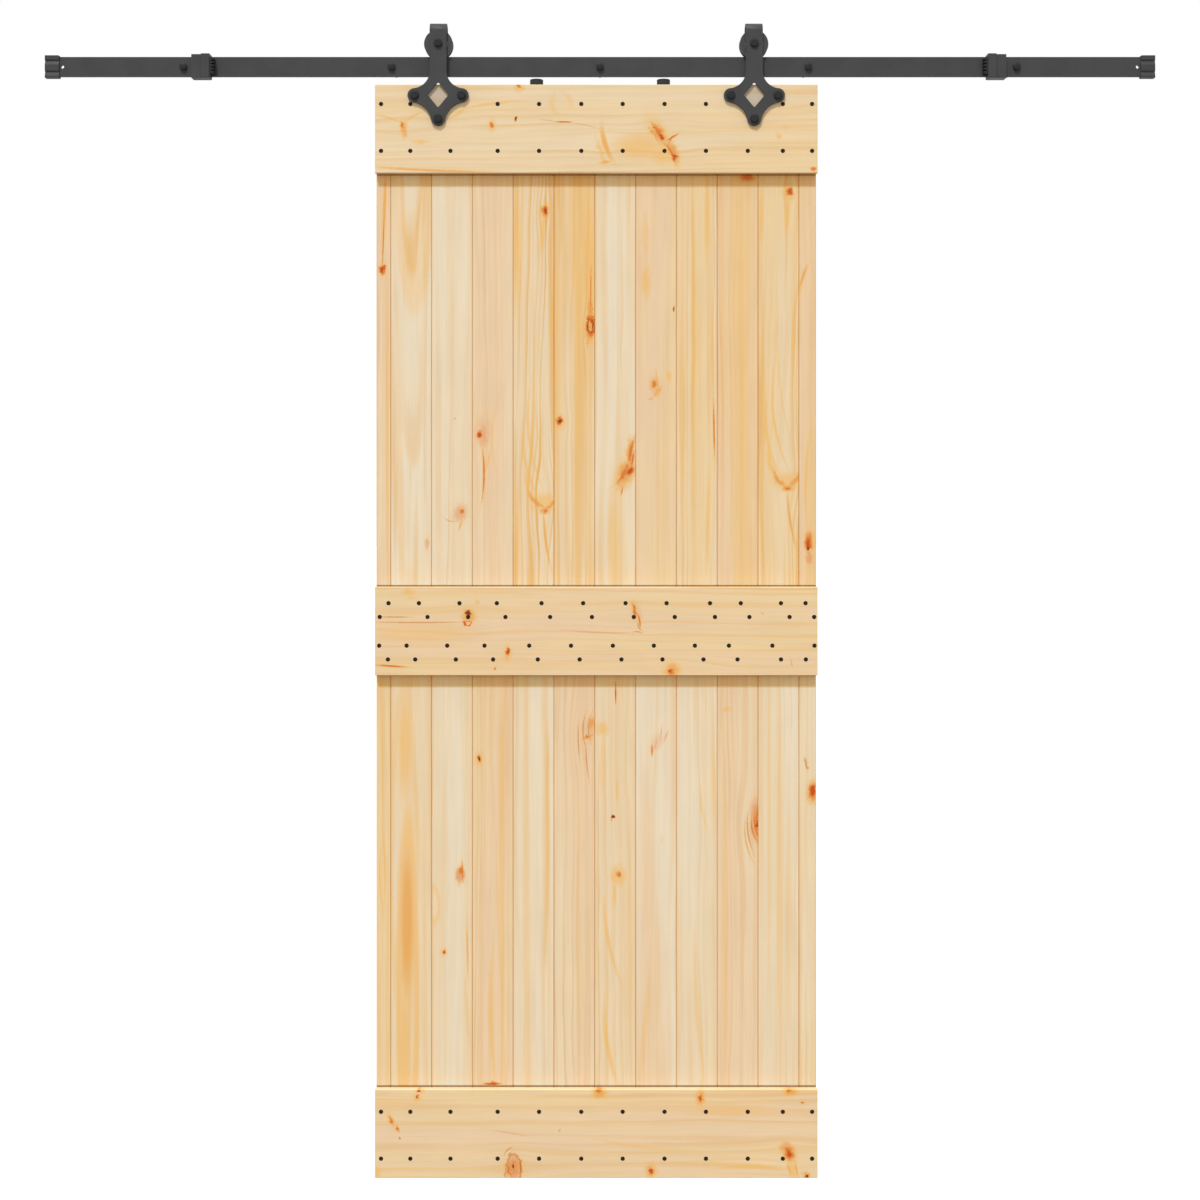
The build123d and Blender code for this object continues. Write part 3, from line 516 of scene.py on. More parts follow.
# Knots, rings and resin streaks
MARKS = {
    "upper_board_01": (
        spot(382, 269.4, 4, 5.4, "red"), stroke(384, 215, 382.5, 268, 1.3, "rust"),
        stroke(385.5, 176, 383.5, 240, 3.2, "resin"), stroke(387, 300, 387.5, 560, 3, "amber"),
    ),
    "upper_board_02": (
        ring(414, 180, 17, 116, 2.6, "faint"), ring(413, 160, 11, 118, 1.6, "faint"),
        stroke(398.5, 185, 412, 290, 5, "faint", 2), spot(427, 544, 2.6, 6, "pink"),
        stroke(399, 420, 402, 580, 6, "faint"),
    ),
    "upper_board_03": (
        spot(460, 513, 8, 10, "pink", -25), stroke(459, 517, 465, 507, 2.4, "pink"),
        spot(462, 511, 1.8, 3, "rust", -25), stroke(443, 519, 456, 523, 1.6, "pink", 2),
        spot(455, 419, 1.3, 1.8, "pink"), stroke(462, 520, 459, 530, 1.6, "resin"),
    ),
    "upper_board_04": (
        spot(483, 431, 9, 17, "blush"), spot(479.6, 434, 2.6, 4.4, "red"),
        spot(483, 435, 6, 13, "pink"), stroke(484, 446, 484, 500, 2, "rust", -2),
        stroke(490, 452, 486, 470, 2, "amber"), stroke(493, 400, 491, 470, 2.5, "faint", 5),
    ),
    "upper_board_05": (
        spot(545, 210.7, 3.5, 4, "red"), spot(546, 211, 1.4, 2.2, "dark"),
        spot(545, 212, 4.4, 6, "ochre"), stroke(543, 216, 541.5, 250, 4.5, "amber"),
        stroke(551, 200, 547, 211, 1.6, "amber"), stroke(517, 190, 517, 300, 6, "amber"),
        stroke(523, 190, 519, 330, 4, "faint"), stroke(527, 494, 544, 511, 5, "ochre", 3),
        stroke(562, 493, 547, 511, 4.6, "ochre", -3), spot(545, 510.5, 5, 3.4, "ochre"),
        spot(545, 510.5, 2.6, 1.8, "rust"), stroke(526, 468, 528, 496, 4, "amber", 1),
        stroke(563, 464, 562, 494, 3.6, "amber", -1), stroke(542.4, 513, 548.6, 564, 2.4, "resin", 1.2),
        spot(545, 503, 12, 8, "amber"), stroke(519, 430, 531, 492, 3, "amber", 4),
        stroke(524, 395, 534, 480, 2.4, "amber", 5), stroke(530, 360, 541, 470, 2, "faint", 4),
        stroke(552, 300, 549, 350, 1.6, "amber", 2), stroke(517, 495, 517, 580, 3.5, "amber"),
    ),
    "upper_board_06": (
        ring(590.5, 326, 3.6, 8.6, 1.3, "rust"), ring(590.6, 326, 2.8, 7, 0.8, "red", 6),
        stroke(587.6, 322, 588, 333, 1.3, "dark", 0.6), stroke(593, 320, 592.6, 331, 1.2, "dark", -0.6),
        spot(590, 329, 5, 12, "ochre"), stroke(590, 298, 590.4, 319, 3.6, "ochre"),
        stroke(589, 334, 587.5, 348, 2.4, "resin"), stroke(591, 265, 590.5, 318, 1.4, "rust"),
        stroke(588, 200, 589, 330, 8, "amber"), spot(560, 421, 3.4, 4.4, "red"),
        spot(560, 422, 5.5, 6.5, "amber"), spot(559.6, 421, 1.7, 2.2, "dark"),
        stroke(577, 180, 578, 580, 7, "faint"), stroke(588, 340, 588, 580, 6, "faint"),
    ),
    "upper_board_07": (
        stroke(633, 438, 628, 466, 4.6, "rust", 1), stroke(634, 450, 631, 470, 3, "rust"),
        spot(630, 471, 5.6, 3.8, "red", 60), stroke(630, 462, 617, 486, 5, "rust", -2.5),
        stroke(628, 470, 620, 480, 3.6, "rust"), spot(626, 473, 8, 15, "ochre", -25),
        stroke(631, 440, 629, 460, 7, "ochre"), spot(627, 468, 7, 14, "amber", -25),
        stroke(623, 486, 621, 496, 1.5, "rust"), spot(624, 480, 6, 12, "blush", -20),
        stroke(612, 500, 613, 580, 9, "faint"),
    ),
    "upper_board_08": (
        spot(673.5, 308.7, 1.5, 2, "dark"), spot(655, 386, 7, 11, "blush", 10),
        spot(654, 384, 3, 5, "rust", -12), stroke(653, 397, 662, 386, 3, "resin"),
        spot(669, 376, 2.6, 4.5, "amber"), stroke(656, 372, 659, 396, 1.6, "resin"),
        stroke(648, 396, 653, 402, 1.6, "pink"), spot(645, 236, 3, 18, "faint"),
        spot(646, 282, 3.5, 13, "amber"),
    ),
    "upper_board_09": (
        stroke(707, 176, 706.5, 250, 4, "amber"), stroke(713.5, 400, 714.5, 458, 1.8, "rust"),
        stroke(709, 480, 707, 560, 3, "amber"), stroke(683, 180, 682, 580, 4, "faint"),
        stroke(712, 300, 712.5, 400, 3, "amber"), stroke(694, 200, 695, 560, 4, "faint"),
    ),
    "upper_board_10": (
        spot(747, 177.5, 8, 4, "rust"), spot(747, 179, 7, 4, "pink"),
        stroke(722, 190, 723, 580, 3, "faint"), stroke(741, 230, 742, 560, 5, "faint"),
    ),
    "upper_board_11": (
        spot(789.5, 191.8, 3.6, 4.2, "red"), spot(788.5, 193, 5.4, 7, "amber"),
        stroke(788, 200, 786, 230, 4, "amber"), stroke(770, 471, 786, 489, 5.4, "ochre", 3),
        stroke(803, 471, 789, 489, 5.6, "ochre", -3), spot(787.5, 488.5, 5.2, 3.4, "ochre"),
        spot(787.5, 489, 2.8, 1.8, "rust"), stroke(768, 446, 771, 474, 4, "amber", 1),
        stroke(804, 444, 803, 472, 4, "amber", -1), stroke(785.8, 493, 794.2, 547, 2.4, "resin", 1.6),
        spot(787, 481, 12, 8, "amber"), stroke(762, 410, 774, 474, 3, "amber", 4),
        stroke(768, 380, 780, 462, 2.4, "amber", 5), stroke(761, 190, 761, 240, 4, "amber"),
        stroke(774, 330, 786, 440, 2, "faint", 4), stroke(762, 470, 762, 575, 3.5, "faint"),
        stroke(796, 286, 790.5, 370, 2.6, "amber", 2),
    ),
    "upper_board_12": (
        stroke(806, 266, 799.5, 288, 3, "resin", 1), spot(809, 542, 4.6, 9.6, "rust"),
        spot(808.6, 544, 3.2, 8, "red"), spot(809, 549, 1.2, 2.2, "dark"),
        spot(809, 557, 3.4, 8, "pink"), stroke(807, 440, 804, 520, 2.5, "amber", 2),
    ),
    "lower_board_01": (
        stroke(379, 850, 381, 910, 1.8, "amber", 1.5), stroke(384, 830, 386, 900, 1.8, "amber", -1.5),
        stroke(388, 850, 387, 1080, 2.4, "faint"), stroke(379, 940, 379.5, 1080, 2.4, "faint"),
        stroke(382, 690, 383, 820, 2, "faint"),
    ),
    "lower_board_02": (
        ring(404, 860, 13, 158, 1.8, "faint"), spot(405, 745, 6, 45, "amber"),
        spot(407, 920, 7, 75, "resin"), ring(408, 1000, 9, 150, 2.4, "amber"),
        spot(404, 1050, 5, 60, "amber"), stroke(424, 800, 426, 1080, 3, "faint"),
    ),
    "lower_board_03": (
        spot(460, 876, 5.5, 8, "rose"), spot(461.5, 871, 2.6, 4.6, "rust", 15),
        stroke(462, 862, 463, 880, 2, "rust"), stroke(456, 876, 459, 886, 2, "amber"),
        spot(444, 951.6, 1.5, 2.4, "red"), spot(444, 952, 3, 4, "amber"),
        stroke(467, 925, 468, 975, 1.6, "resin"), ring(434, 905, 5, 17, 1.2, "faint"),
        stroke(431, 930, 429, 1010, 2, "faint"), stroke(465, 985, 469, 1040, 3, "faint"),
    ),
    "lower_board_04": (
        spot(479, 758, 2.1, 4.6, "rust"), spot(479, 758, 1.2, 2.6, "dark"),
        spot(479, 759, 4, 6.5, "amber"), stroke(483, 1083.8, 501, 1083.8, 2.6, "red"),
        spot(493, 1082.6, 3.4, 1.6, "rust"), stroke(490, 960, 492, 1070, 4, "amber", 2),
        stroke(501, 700, 502, 1080, 5, "faint"), stroke(496, 850, 504, 1060, 3, "faint"),
    ),
    "lower_board_05": (
        stroke(548, 700, 549, 1080, 4, "faint"), stroke(526, 680, 527, 1080, 6, "faint"),
    ),
    "lower_board_06": (
        stroke(583, 712, 583, 748, 1.4, "brown", 3), stroke(589, 711, 588, 744, 1.3, "brown", 3.5),
        stroke(577.5, 722, 579, 760, 1.3, "brown", 1), stroke(582, 739, 593, 735, 4.4, "ochre"),
        spot(592, 724, 2.8, 6, "ochre"), spot(590, 730, 8, 14, "blush"),
        spot(587, 736, 2.6, 2.2, "rust"), stroke(585, 742, 588, 780, 1.4, "brown", 1),
        stroke(578, 800, 579, 1080, 3, "faint"),
    ),
    "lower_board_07": (
        stroke(615.7, 682, 615.7, 705, 1.4, "red"), spot(612.6, 817.5, 1.8, 2.6, "dark"),
        spot(619, 874, 2.9, 3.8, "rust"), spot(618, 876, 7, 9, "amber"), spot(602, 729, 6, 6, "amber"),
        stroke(603, 740, 602, 790, 5, "faint"), stroke(601.5, 905, 614.5, 975, 3.4, "amber", 3),
        stroke(601.5, 1010, 613, 1080, 4, "amber", 3), stroke(615, 880, 614.5, 906, 3, "amber"),
        stroke(617, 780, 617, 800, 2, "amber"), stroke(630, 850, 631, 1080, 4, "faint"),
    ),
    "lower_board_08": (
        spot(657, 742, 6, 11, "blush", -25), stroke(653, 752, 659, 738, 2.6, "pink"),
        stroke(662, 725, 660, 745, 1.6, "pink"), stroke(652, 745, 652, 756, 1.8, "rust"),
        stroke(668, 730, 664, 742, 2, "pink"), spot(662, 840, 1.4, 2.6, "faint"),
        stroke(648, 990, 641, 1070, 5, "faint"),
    ),
    "lower_board_09": (
        stroke(699, 790, 705, 828, 3, "faint", 2), stroke(713, 740, 713.5, 830, 4, "faint"),
        stroke(693, 950, 701, 1070, 4, "faint", 2),
    ),
    "lower_board_10": (
        spot(757, 820, 7.5, 24, "rose"), stroke(757, 806, 755.5, 836, 3, "rust", 1),
        stroke(752, 808, 757.5, 842, 2, "rust", 3), stroke(745, 812, 751, 854, 1.7, "brown", 3),
        stroke(748.5, 814, 756, 846, 1.5, "rust", 3.5), stroke(742, 822, 750, 862, 1.3, "resin", 3),
        spot(727, 709, 4, 1.8, "amber"), stroke(724, 780, 725, 1060, 5, "faint"),
        spot(757, 826, 1.4, 5, "red"),
    ),
    "lower_board_11": (
        stroke(779, 700, 780, 1080, 5, "faint"), stroke(769, 680, 769, 960, 3, "faint"),
    ),
    "lower_board_12": (
        spot(812.8, 791.5, 5.2, 10, "rust"), spot(813.5, 790, 4, 7.5, "red"),
        spot(812, 792, 6.5, 13, "blush"), spot(806.5, 764, 1.6, 5, "brown"),
    ),
    "top_bar": (
        spot(402.7, 125.2, 2, 4.6, "rust", 8), spot(404, 129, 3, 8, "resin"),
        stroke(377, 114, 402, 122, 2, "amber", -1), stroke(404, 122, 421, 111, 2.4, "amber", 1),
        stroke(448, 121, 468, 107, 2, "amber", -3), stroke(466, 107, 518, 100, 2.4, "amber", 1.5),
        spot(492, 124.7, 1.9, 4.2, "rust"), spot(492, 125, 3.4, 6, "amber"),
        spot(515.7, 118.6, 1.2, 2.2, "dark"), spot(518.9, 86, 2.6, 2.6, "rust"),
        spot(518.9, 87, 4.5, 4, "amber"), stroke(556, 121.8, 572, 122, 1.4, "red"),
        stroke(540, 119.5, 558, 121.6, 1.3, "pink"), stroke(570, 122, 600, 128, 1.2, "pink", -1),
        stroke(600, 128, 610, 160, 5, "resin", 2), stroke(597, 140, 604, 162, 4, "amber"),
        spot(606, 162, 5, 1.6, "resin"), spot(640, 146, 22, 10, "amber"),
        stroke(653, 122, 664, 142, 5.4, "rust", -1), stroke(649, 126, 660, 143, 3.4, "ochre"),
        stroke(663, 138, 678, 162, 6, "ochre", -2), stroke(666, 142, 677, 163, 3.4, "rust", -1.5),
        stroke(666, 141, 678, 134, 2.2, "rust"), stroke(667, 147, 673, 135, 2, "brown"),
        spot(675, 157, 2.6, 4, "red"), spot(661.5, 137, 2.6, 4.6, "red", 30),
        spot(660, 134, 5.5, 11, "ochre", 30), spot(673, 152, 4.6, 11, "ochre", 22),
        spot(662, 140, 8, 22, "amber", 30), spot(663, 154, 12, 8, "amber"),
        spot(779, 136.5, 2.4, 2.4, "amber"), spot(786, 127, 4, 1.8, "faint"),
        spot(814, 169.5, 3, 2.6, "rust"), stroke(377, 168, 480, 172.5, 2.4, "resin", 1),
        stroke(776, 110, 818, 104, 2.2, "faint", 1), stroke(550, 94, 554, 115, 5, "faint", 3),
        stroke(566, 92, 573, 106, 5, "faint", -2), spot(420, 142, 7, 1.8, "amber"),
    ),
    "middle_bar": (
        spot(468.5, 616, 6, 7, "resin"), spot(468, 613, 3, 3.4, "dark"),
        ring(467.5, 623, 3.8, 2.6, 0.7, "rust"), spot(464.5, 623.5, 1.8, 2.2, "red"),
        stroke(377, 622.5, 464, 622.5, 1.4, "brown", -0.5), stroke(377, 617, 412, 617, 1.3, "brown"),
        spot(507.5, 651.6, 1.9, 4.4, "red"), spot(507.5, 653, 3.4, 7.5, "amber"),
        spot(495.5, 668.7, 1.3, 1.9, "rust"), stroke(375, 665, 406, 667, 2.2, "rust"),
        spot(477, 601.6, 2.4, 2.2, "amber"), stroke(633, 603, 635, 618, 4, "rust"),
        spot(636, 612, 6, 12, "blush", 15), stroke(638, 612, 641, 628, 2, "rust", -1),
        stroke(636, 622, 641, 632, 1.3, "brown", 2), stroke(633, 631, 643, 632.5, 1.3, "brown", -1),
        spot(671, 671, 4, 4.6, "rust"), spot(671, 671, 2.2, 2.6, "red"), spot(672, 670, 7, 7, "resin"),
        stroke(790.5, 659, 792, 667, 1.8, "pink"), spot(762, 613, 1.4, 1.4, "pink"),
        spot(409, 592, 6, 2.2, "amber"), spot(412, 598, 5, 2, "faint"), spot(420, 633, 46, 9, "faint"),
        stroke(640, 622, 816, 625, 1.5, "faint", 1), stroke(560, 631, 640, 634, 1.5, "pink", 1.5),
        stroke(642, 634, 816, 637, 1.5, "faint", -1),
    ),
    "bottom_bar": (
        spot(416.4, 1097.3, 1.8, 2, "red"), spot(416.6, 1098, 3.6, 3.4, "amber"),
        spot(419, 1091, 2.2, 1.4, "red"), spot(420.5, 1091, 4, 1.8, "amber"),
        spot(391, 1120.5, 2.4, 6, "resin", 25), spot(391.5, 1122, 1.4, 3, "rust", 25),
        spot(398.4, 1129.5, 1.8, 3, "rust", 25), spot(400, 1138, 1.2, 1.4, "rust"),
        spot(513.5, 1168, 9, 14.5, "rose"), ring(513.5, 1170, 8, 15.5, 0.9, "brown"),
        spot(513, 1166, 2.4, 5, "rust"), spot(512.6, 1166, 1.3, 2.4, "dark"),
        stroke(503, 1154, 512, 1146, 1.6, "brown", 1.5),
        stroke(520, 1157, 521.5, 1177, 2.6, "rust", -1.5), stroke(507, 1160, 509, 1177, 3, "rust", 1.5),
        spot(599.5, 1093.5, 6.5, 5, "resin"), spot(598.5, 1091, 4.2, 2.6, "rust"),
        spot(700.7, 1098, 3, 5, "rust"), spot(700.7, 1098, 1.8, 3, "red"),
        spot(700.7, 1098, 4.4, 7, "resin"), spot(650.9, 1170.9, 3.2, 3.6, "red"),
        spot(650.9, 1170.9, 5, 6, "resin"), spot(789, 1153, 6, 8.6, "rust", 25),
        spot(790, 1154, 3.4, 5.8, "red", 25), spot(788, 1151, 7.5, 10, "pink", 25),
        stroke(790, 1163, 795, 1177, 7, "amber"), stroke(794.5, 1160, 798, 1177, 1.8, "resin"),
        stroke(787, 1163, 791, 1176, 1.6, "resin"), spot(789.5, 1092, 6, 4, "resin"),
        spot(789, 1091, 3, 2, "rust"), spot(803, 1102.7, 1.5, 1.5, "rust"),
        spot(806, 1175, 3.4, 3, "resin"), spot(806, 1176.5, 1.6, 1.4, "dark"),
        spot(377, 1173, 3, 6, "amber"), stroke(722, 1166, 780, 1167, 4, "amber", -2),
        stroke(490, 1130, 530, 1136, 1.3, "pink"), spot(560, 1131, 1, 3, "pink"),
        stroke(600, 1142, 680, 1152, 3, "faint", 2), stroke(690, 1160, 770, 1158, 2.2, "faint", 2),
        stroke(696, 1112, 760, 1110, 8, "faint"),
    ),
}


# Patches of painted shade: X, Z, half width along X, half height along Z, share at full strength, shade.
def painted_bands_between(upper_bar, lower_bar):
    """Painted shade lines along two bars, a painted warm shadow tint under the one and painted cooling
    over the other.
    """
    under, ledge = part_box(upper_bar)[0].z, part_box(lower_bar)[1].z
    return (
        (0.0, under - SHADOW_DROP, BAND_REACH, SHADOW_HALF, SHADOW_CORE_SHARE, PAINTED_SHADOW_TINT),
        (0.0, under - SHADE_LINE_HALF / 2, BAND_REACH, SHADE_LINE_HALF, SHADE_LINE_CORE_SHARE, PAINTED_UNDER_SHADE),
        (0.0, ledge, BAND_REACH, BOUNCE_COOLING_HALF, BOUNCE_COOLING_CORE_SHARE, PAINTED_BOUNCE_COOLING),
        (0.0, ledge + SHADE_LINE_HALF / 2, BAND_REACH, SHADE_LINE_HALF, SHADE_LINE_CORE_SHARE, PAINTED_LEDGE_SHADE),
    )


def painted_window_shades():
    """Painted shade: greyer wood in the windows of the straps."""
    pixel = pixel_size(BARS_FRONT)
    half_x, half_z = (half * pixel for half in WINDOW_HALVES)
    places = [photo_place(x, y, pixel) for x, y in WINDOWS]
    return [(x, z, half_x, half_z, WINDOW_CORE_SHARE, WINDOW_PAINTED_SHADE) for x, z in places]


# Painted shade on the boards along the bars, and on the top bar in the strap windows.
PAINTED_SHADE_PATCHES = {
    "upper": painted_bands_between("top_bar", "middle_bar"),
    "lower": painted_bands_between("middle_bar", "bottom_bar"),
    "top_bar": painted_window_shades(),
}
SEED_STEP = 11.7

for order, (name, (tones, pith, lean, ring_width, streaks)) in enumerate({**BOARDS, **BARS}.items()):
    upright = name in BOARDS
    low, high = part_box(name)
    middle = (low + high) / 2 / MM
    centre_across, centre_along = (middle.x, middle.z) if upright else (middle.z, middle.x)
    pith_across = centre_across + pith[0] - lean[0] * centre_along
    pith_depth = low.y / MM + pith[1] - lean[1] * centre_along
    bends = BENDS.get(name, ())
    if not upright:
        bends = [(z, x, half_z, half_x, bend) for x, z, half_x, half_z, bend in bends]
    painted_shades = PAINTED_SHADE_PATCHES.get(name.split("_board")[0], ())
    material = pine("pine_" + name, upright, low.y, tones, (pith_across, pith_depth), lean,
                    ring_width, streaks, bends, MARKS[name], painted_shades, SEED_STEP * order)
    dress(name, material)


# Coated metal, rubber and moulded plastic
COAT_CYCLES = 22.0
COAT_SHADES = (0.95, 1.06)
COAT_FADE = (0.35, 0.65)
SPECK_SHARES = ((0.3, 0.88), (0.7, 1.0))
GLOSS_FADE = (0.3, 0.7)
GLOSS_SWING = 0.05
COAT_BUMP = 0.3


def coated(name, colour, roughness, specular, grain, depth, metallic=0.0):
    """A dull coat with a fine pebbled grain, slightly uneven in colour and gloss."""
    material, g, shader = new_material(name)
    place = g.add("ShaderNodeTexCoord").outputs["Object"]
    cloud = g.noise(place, COAT_CYCLES, 2.0)
    pebble = g.noise(place, 1 / grain, 1.0)
    red, green, blue, _ = colour
    darker, lighter = [(red * shade, green * shade, blue * shade, 1.0) for shade in COAT_SHADES]
    tint = g.mix(g.fade(cloud, *COAT_FADE), darker, lighter)
    speck = g.ramp(pebble, *((share, grey(value)) for share, value in SPECK_SHARES))
    bump = g.add("ShaderNodeBump", {"Strength": COAT_BUMP, "Distance": depth, "Height": pebble})
    g.feed(shader, {
        "Base Color": g.mix(1.0, tint, speck, "MULTIPLY"),
        "Roughness": g.fade(cloud, *GLOSS_FADE, roughness - GLOSS_SWING, roughness + GLOSS_SWING),
        "Specular IOR Level": specular,
        "Metallic": metallic,
        "Normal": bump.outputs[0],
    })
    return material


# Colour, roughness, specular level, size and depth of the grain, metallic share
steel = coated("powder_coated_steel", linear(66, 66, 66), 0.5, 0.22, 0.0007, 0.00006)
fastener = coated("black_fastener", linear(43, 43, 43), 0.45, 0.15, 0.0005, 0.00004)
screw_black = coated("black_wood_screw", linear(46, 36, 28), 0.55, 0.1, 0.0004, 0.00003)
plastic = coated("moulded_plastic", linear(62, 62, 62), 0.55, 0.25, 0.0009, 0.00008)
nylon = coated("wheel_nylon", linear(70, 70, 70), 0.5, 0.25, 0.0011, 0.00004)
disc_plastic = coated("disc_plastic", linear(50, 50, 50), 0.5, 0.2, 0.0009, 0.00006)
rubber = coated("bumper_rubber", linear(48, 48, 48), 0.75, 0.15, 0.0012, 0.0001)
bearing_steel = coated("bearing_steel", linear(120, 120, 122), 0.35, 0.5, 0.0015, 0.00002, 0.9)

FINISHES = {
    steel: ("rail", "left_stop", "right_stop", "wall_spacers", "left_strap", "right_strap"),
    fastener: ("lag_screws", "stop_screws", "axle_bolts", "axle_sleeves", "axle_nuts", "hanger_bolts",
               "hanger_washers", "hanger_nuts", "disc_screws"),
    plastic: ("left_end_cap", "right_end_cap"),
    disc_plastic: ("anti_jump_discs",),
    nylon: ("left_wheel", "right_wheel"),
    rubber: ("left_bumper", "right_bumper"),
    bearing_steel: ("left_bearing", "right_bearing"),
    screw_black: ("board_screws",),
}
for material, names in FINISHES.items():
    for name in names:
        dress(name, material)


# Turned and threaded fasteners
WELD_REACH = 0.001 * MM
SHARP_ANGLE = math.radians(35)


def solid_boxes(node_name):
    """The lowest and highest corners of each separate solid in a node, from left to right."""
    mesh = bmesh.new()
    mesh.from_mesh(nodes[node_name].data)
    bmesh.ops.remove_doubles(mesh, verts=mesh.verts, dist=WELD_REACH)
    waiting = set(mesh.verts)
    boxes = []
    while waiting:
        stack = [waiting.pop()]
        corners = []
        while stack:
            vertex = stack.pop()
            corners.append(tuple(vertex.co))
            for edge in vertex.link_edges:
                other = edge.other_vert(vertex)
                if other in waiting:
                    waiting.remove(other)
                    stack.append(other)
        boxes.append((Vector(map(min, zip(*corners))), Vector(map(max, zip(*corners)))))
    mesh.free()
    return sorted(boxes, key=lambda box: tuple(box[0]))


def add_rings(mesh, rings):
    """Joins rings of points that have equal counts, and returns the rings of vertices."""
    loops = [[mesh.verts.new(point) for point in ring] for ring in rings]
    for near, far in zip(loops, loops[1:]):
        for i, vertex in enumerate(near):
            j = (i + 1) % len(near)
            mesh.faces.new((vertex, near[j], far[j], far[i]))
    return loops


def ring_at(radius, depth, count, phase=0.0):
    """A ring round the Y axis. Radius is a number, or a function of the angle."""
    points = []
    for i in range(count):
        angle = phase + 2 * math.pi * i / count
        reach = radius(angle) if callable(radius) else radius
        points.append((reach * math.cos(angle), depth, reach * math.sin(angle)))
    return points


def ring_edges(loop):
    """The edges between neighbours in a ring of vertices."""
    edges = []
    for i, vertex in enumerate(loop):
        following = loop[(i + 1) % len(loop)]
        edges += [edge for edge in vertex.link_edges if edge.other_vert(vertex) is following]
    return edges


def finish_piece(mesh, name, body, material, node_name):
    """Turns a bmesh into a piece that stands for a node and rides on a body."""
    bmesh.ops.recalc_face_normals(mesh, faces=mesh.faces)
    data = bpy.data.meshes.new(name)
    mesh.to_mesh(data)
    mesh.free()
    data.materials.append(material)
    data.shade_smooth()
    data.set_sharp_from_angle(angle=SHARP_ANGLE)
    piece = bpy.data.objects.new(name, data)
    bpy.context.scene.collection.objects.link(piece)
    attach(piece, body)
    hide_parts(node_name)
    return piece


SCREW_SIDES = 20
SCREW_RIM = 0.25 * MM
SCREW_HEAD = 2.6 * MM
SCREW_NECK = 1.9 * MM
SCREW_TIP = 6.0 * MM
SCREW_POINT = 0.15 * MM
SCREW_DRAWS = 7
RECESS_ARM = 2.3 * MM
RECESS_HALF = 0.55 * MM
RECESS_DEPTH = 0.25 * MM
FLUSH_RISE = 0.02 * MM
RECESS_FLOOR_SHARE = 0.55


def add_screw(mesh, low, high, turn):
    """A countersunk screw with a cross recess, in the space of one solid."""
    radius = (high.z - low.z) / 2
    length = high.y - low.y
    arm, half = RECESS_ARM, RECESS_HALF
    corner = [(half, half), (half, arm), (-half, arm)]
    outline = []
    for quarter in range(4):
        spin = Matrix.Rotation(turn + quarter * math.pi / 2, 2)
        outline += [spin @ Vector(point) for point in corner]
    start = len(mesh.verts)
    body = add_rings(mesh, [
        ring_at(radius - SCREW_RIM, 0.0, SCREW_SIDES),
        ring_at(radius, SCREW_RIM, SCREW_SIDES),
        ring_at(SCREW_NECK, SCREW_HEAD, SCREW_SIDES),
        ring_at(SCREW_NECK, length - SCREW_TIP, SCREW_SIDES),
        ring_at(SCREW_POINT, length, SCREW_SIDES),
    ])
    floor = [point * RECESS_FLOOR_SHARE for point in outline]
    recess = add_rings(mesh, [
        [(point.x, 0.0, point.y) for point in outline],
        [(point.x, RECESS_DEPTH, point.y) for point in floor],
    ])
    mesh.faces.new(body[-1])
    mesh.faces.new(recess[-1])
    bmesh.ops.triangle_fill(mesh, use_beauty=True, edges=ring_edges(body[0]) + ring_edges(recess[0]))
    mesh.verts.ensure_lookup_table()
    centre = (low + high) / 2
    bmesh.ops.translate(mesh, verts=mesh.verts[start:], vec=(centre.x, low.y - FLUSH_RISE, centre.z))


def make_wood_screws():
    draws = random.Random(SCREW_DRAWS)
    mesh = bmesh.new()
    for low, high in solid_boxes("board_screws"):
        add_screw(mesh, low, high, draws.uniform(0.0, math.pi / 2))
    return finish_piece(mesh, "wood_screws", "door", screw_black, "board_screws")


LAG_SIDES = 24
LAG_HEAD_HEIGHT = 5.5 * MM
LAG_HEAD_FLAT = 6.5 * MM
LAG_HEAD_FACE = 5.9 * MM
LAG_SHANK = 4.0 * MM
LAG_CREST = 3.7 * MM
LAG_ROOT = 2.7 * MM
LAG_PITCH = 3.2 * MM
LAG_POINT = 8.0 * MM
LAG_STEP = 0.4 * MM
LAG_RIDGE_SHARE = 0.22
LAG_TIP = 0.1 * MM
LAG_CHAMFER = math.tan(math.radians(30))


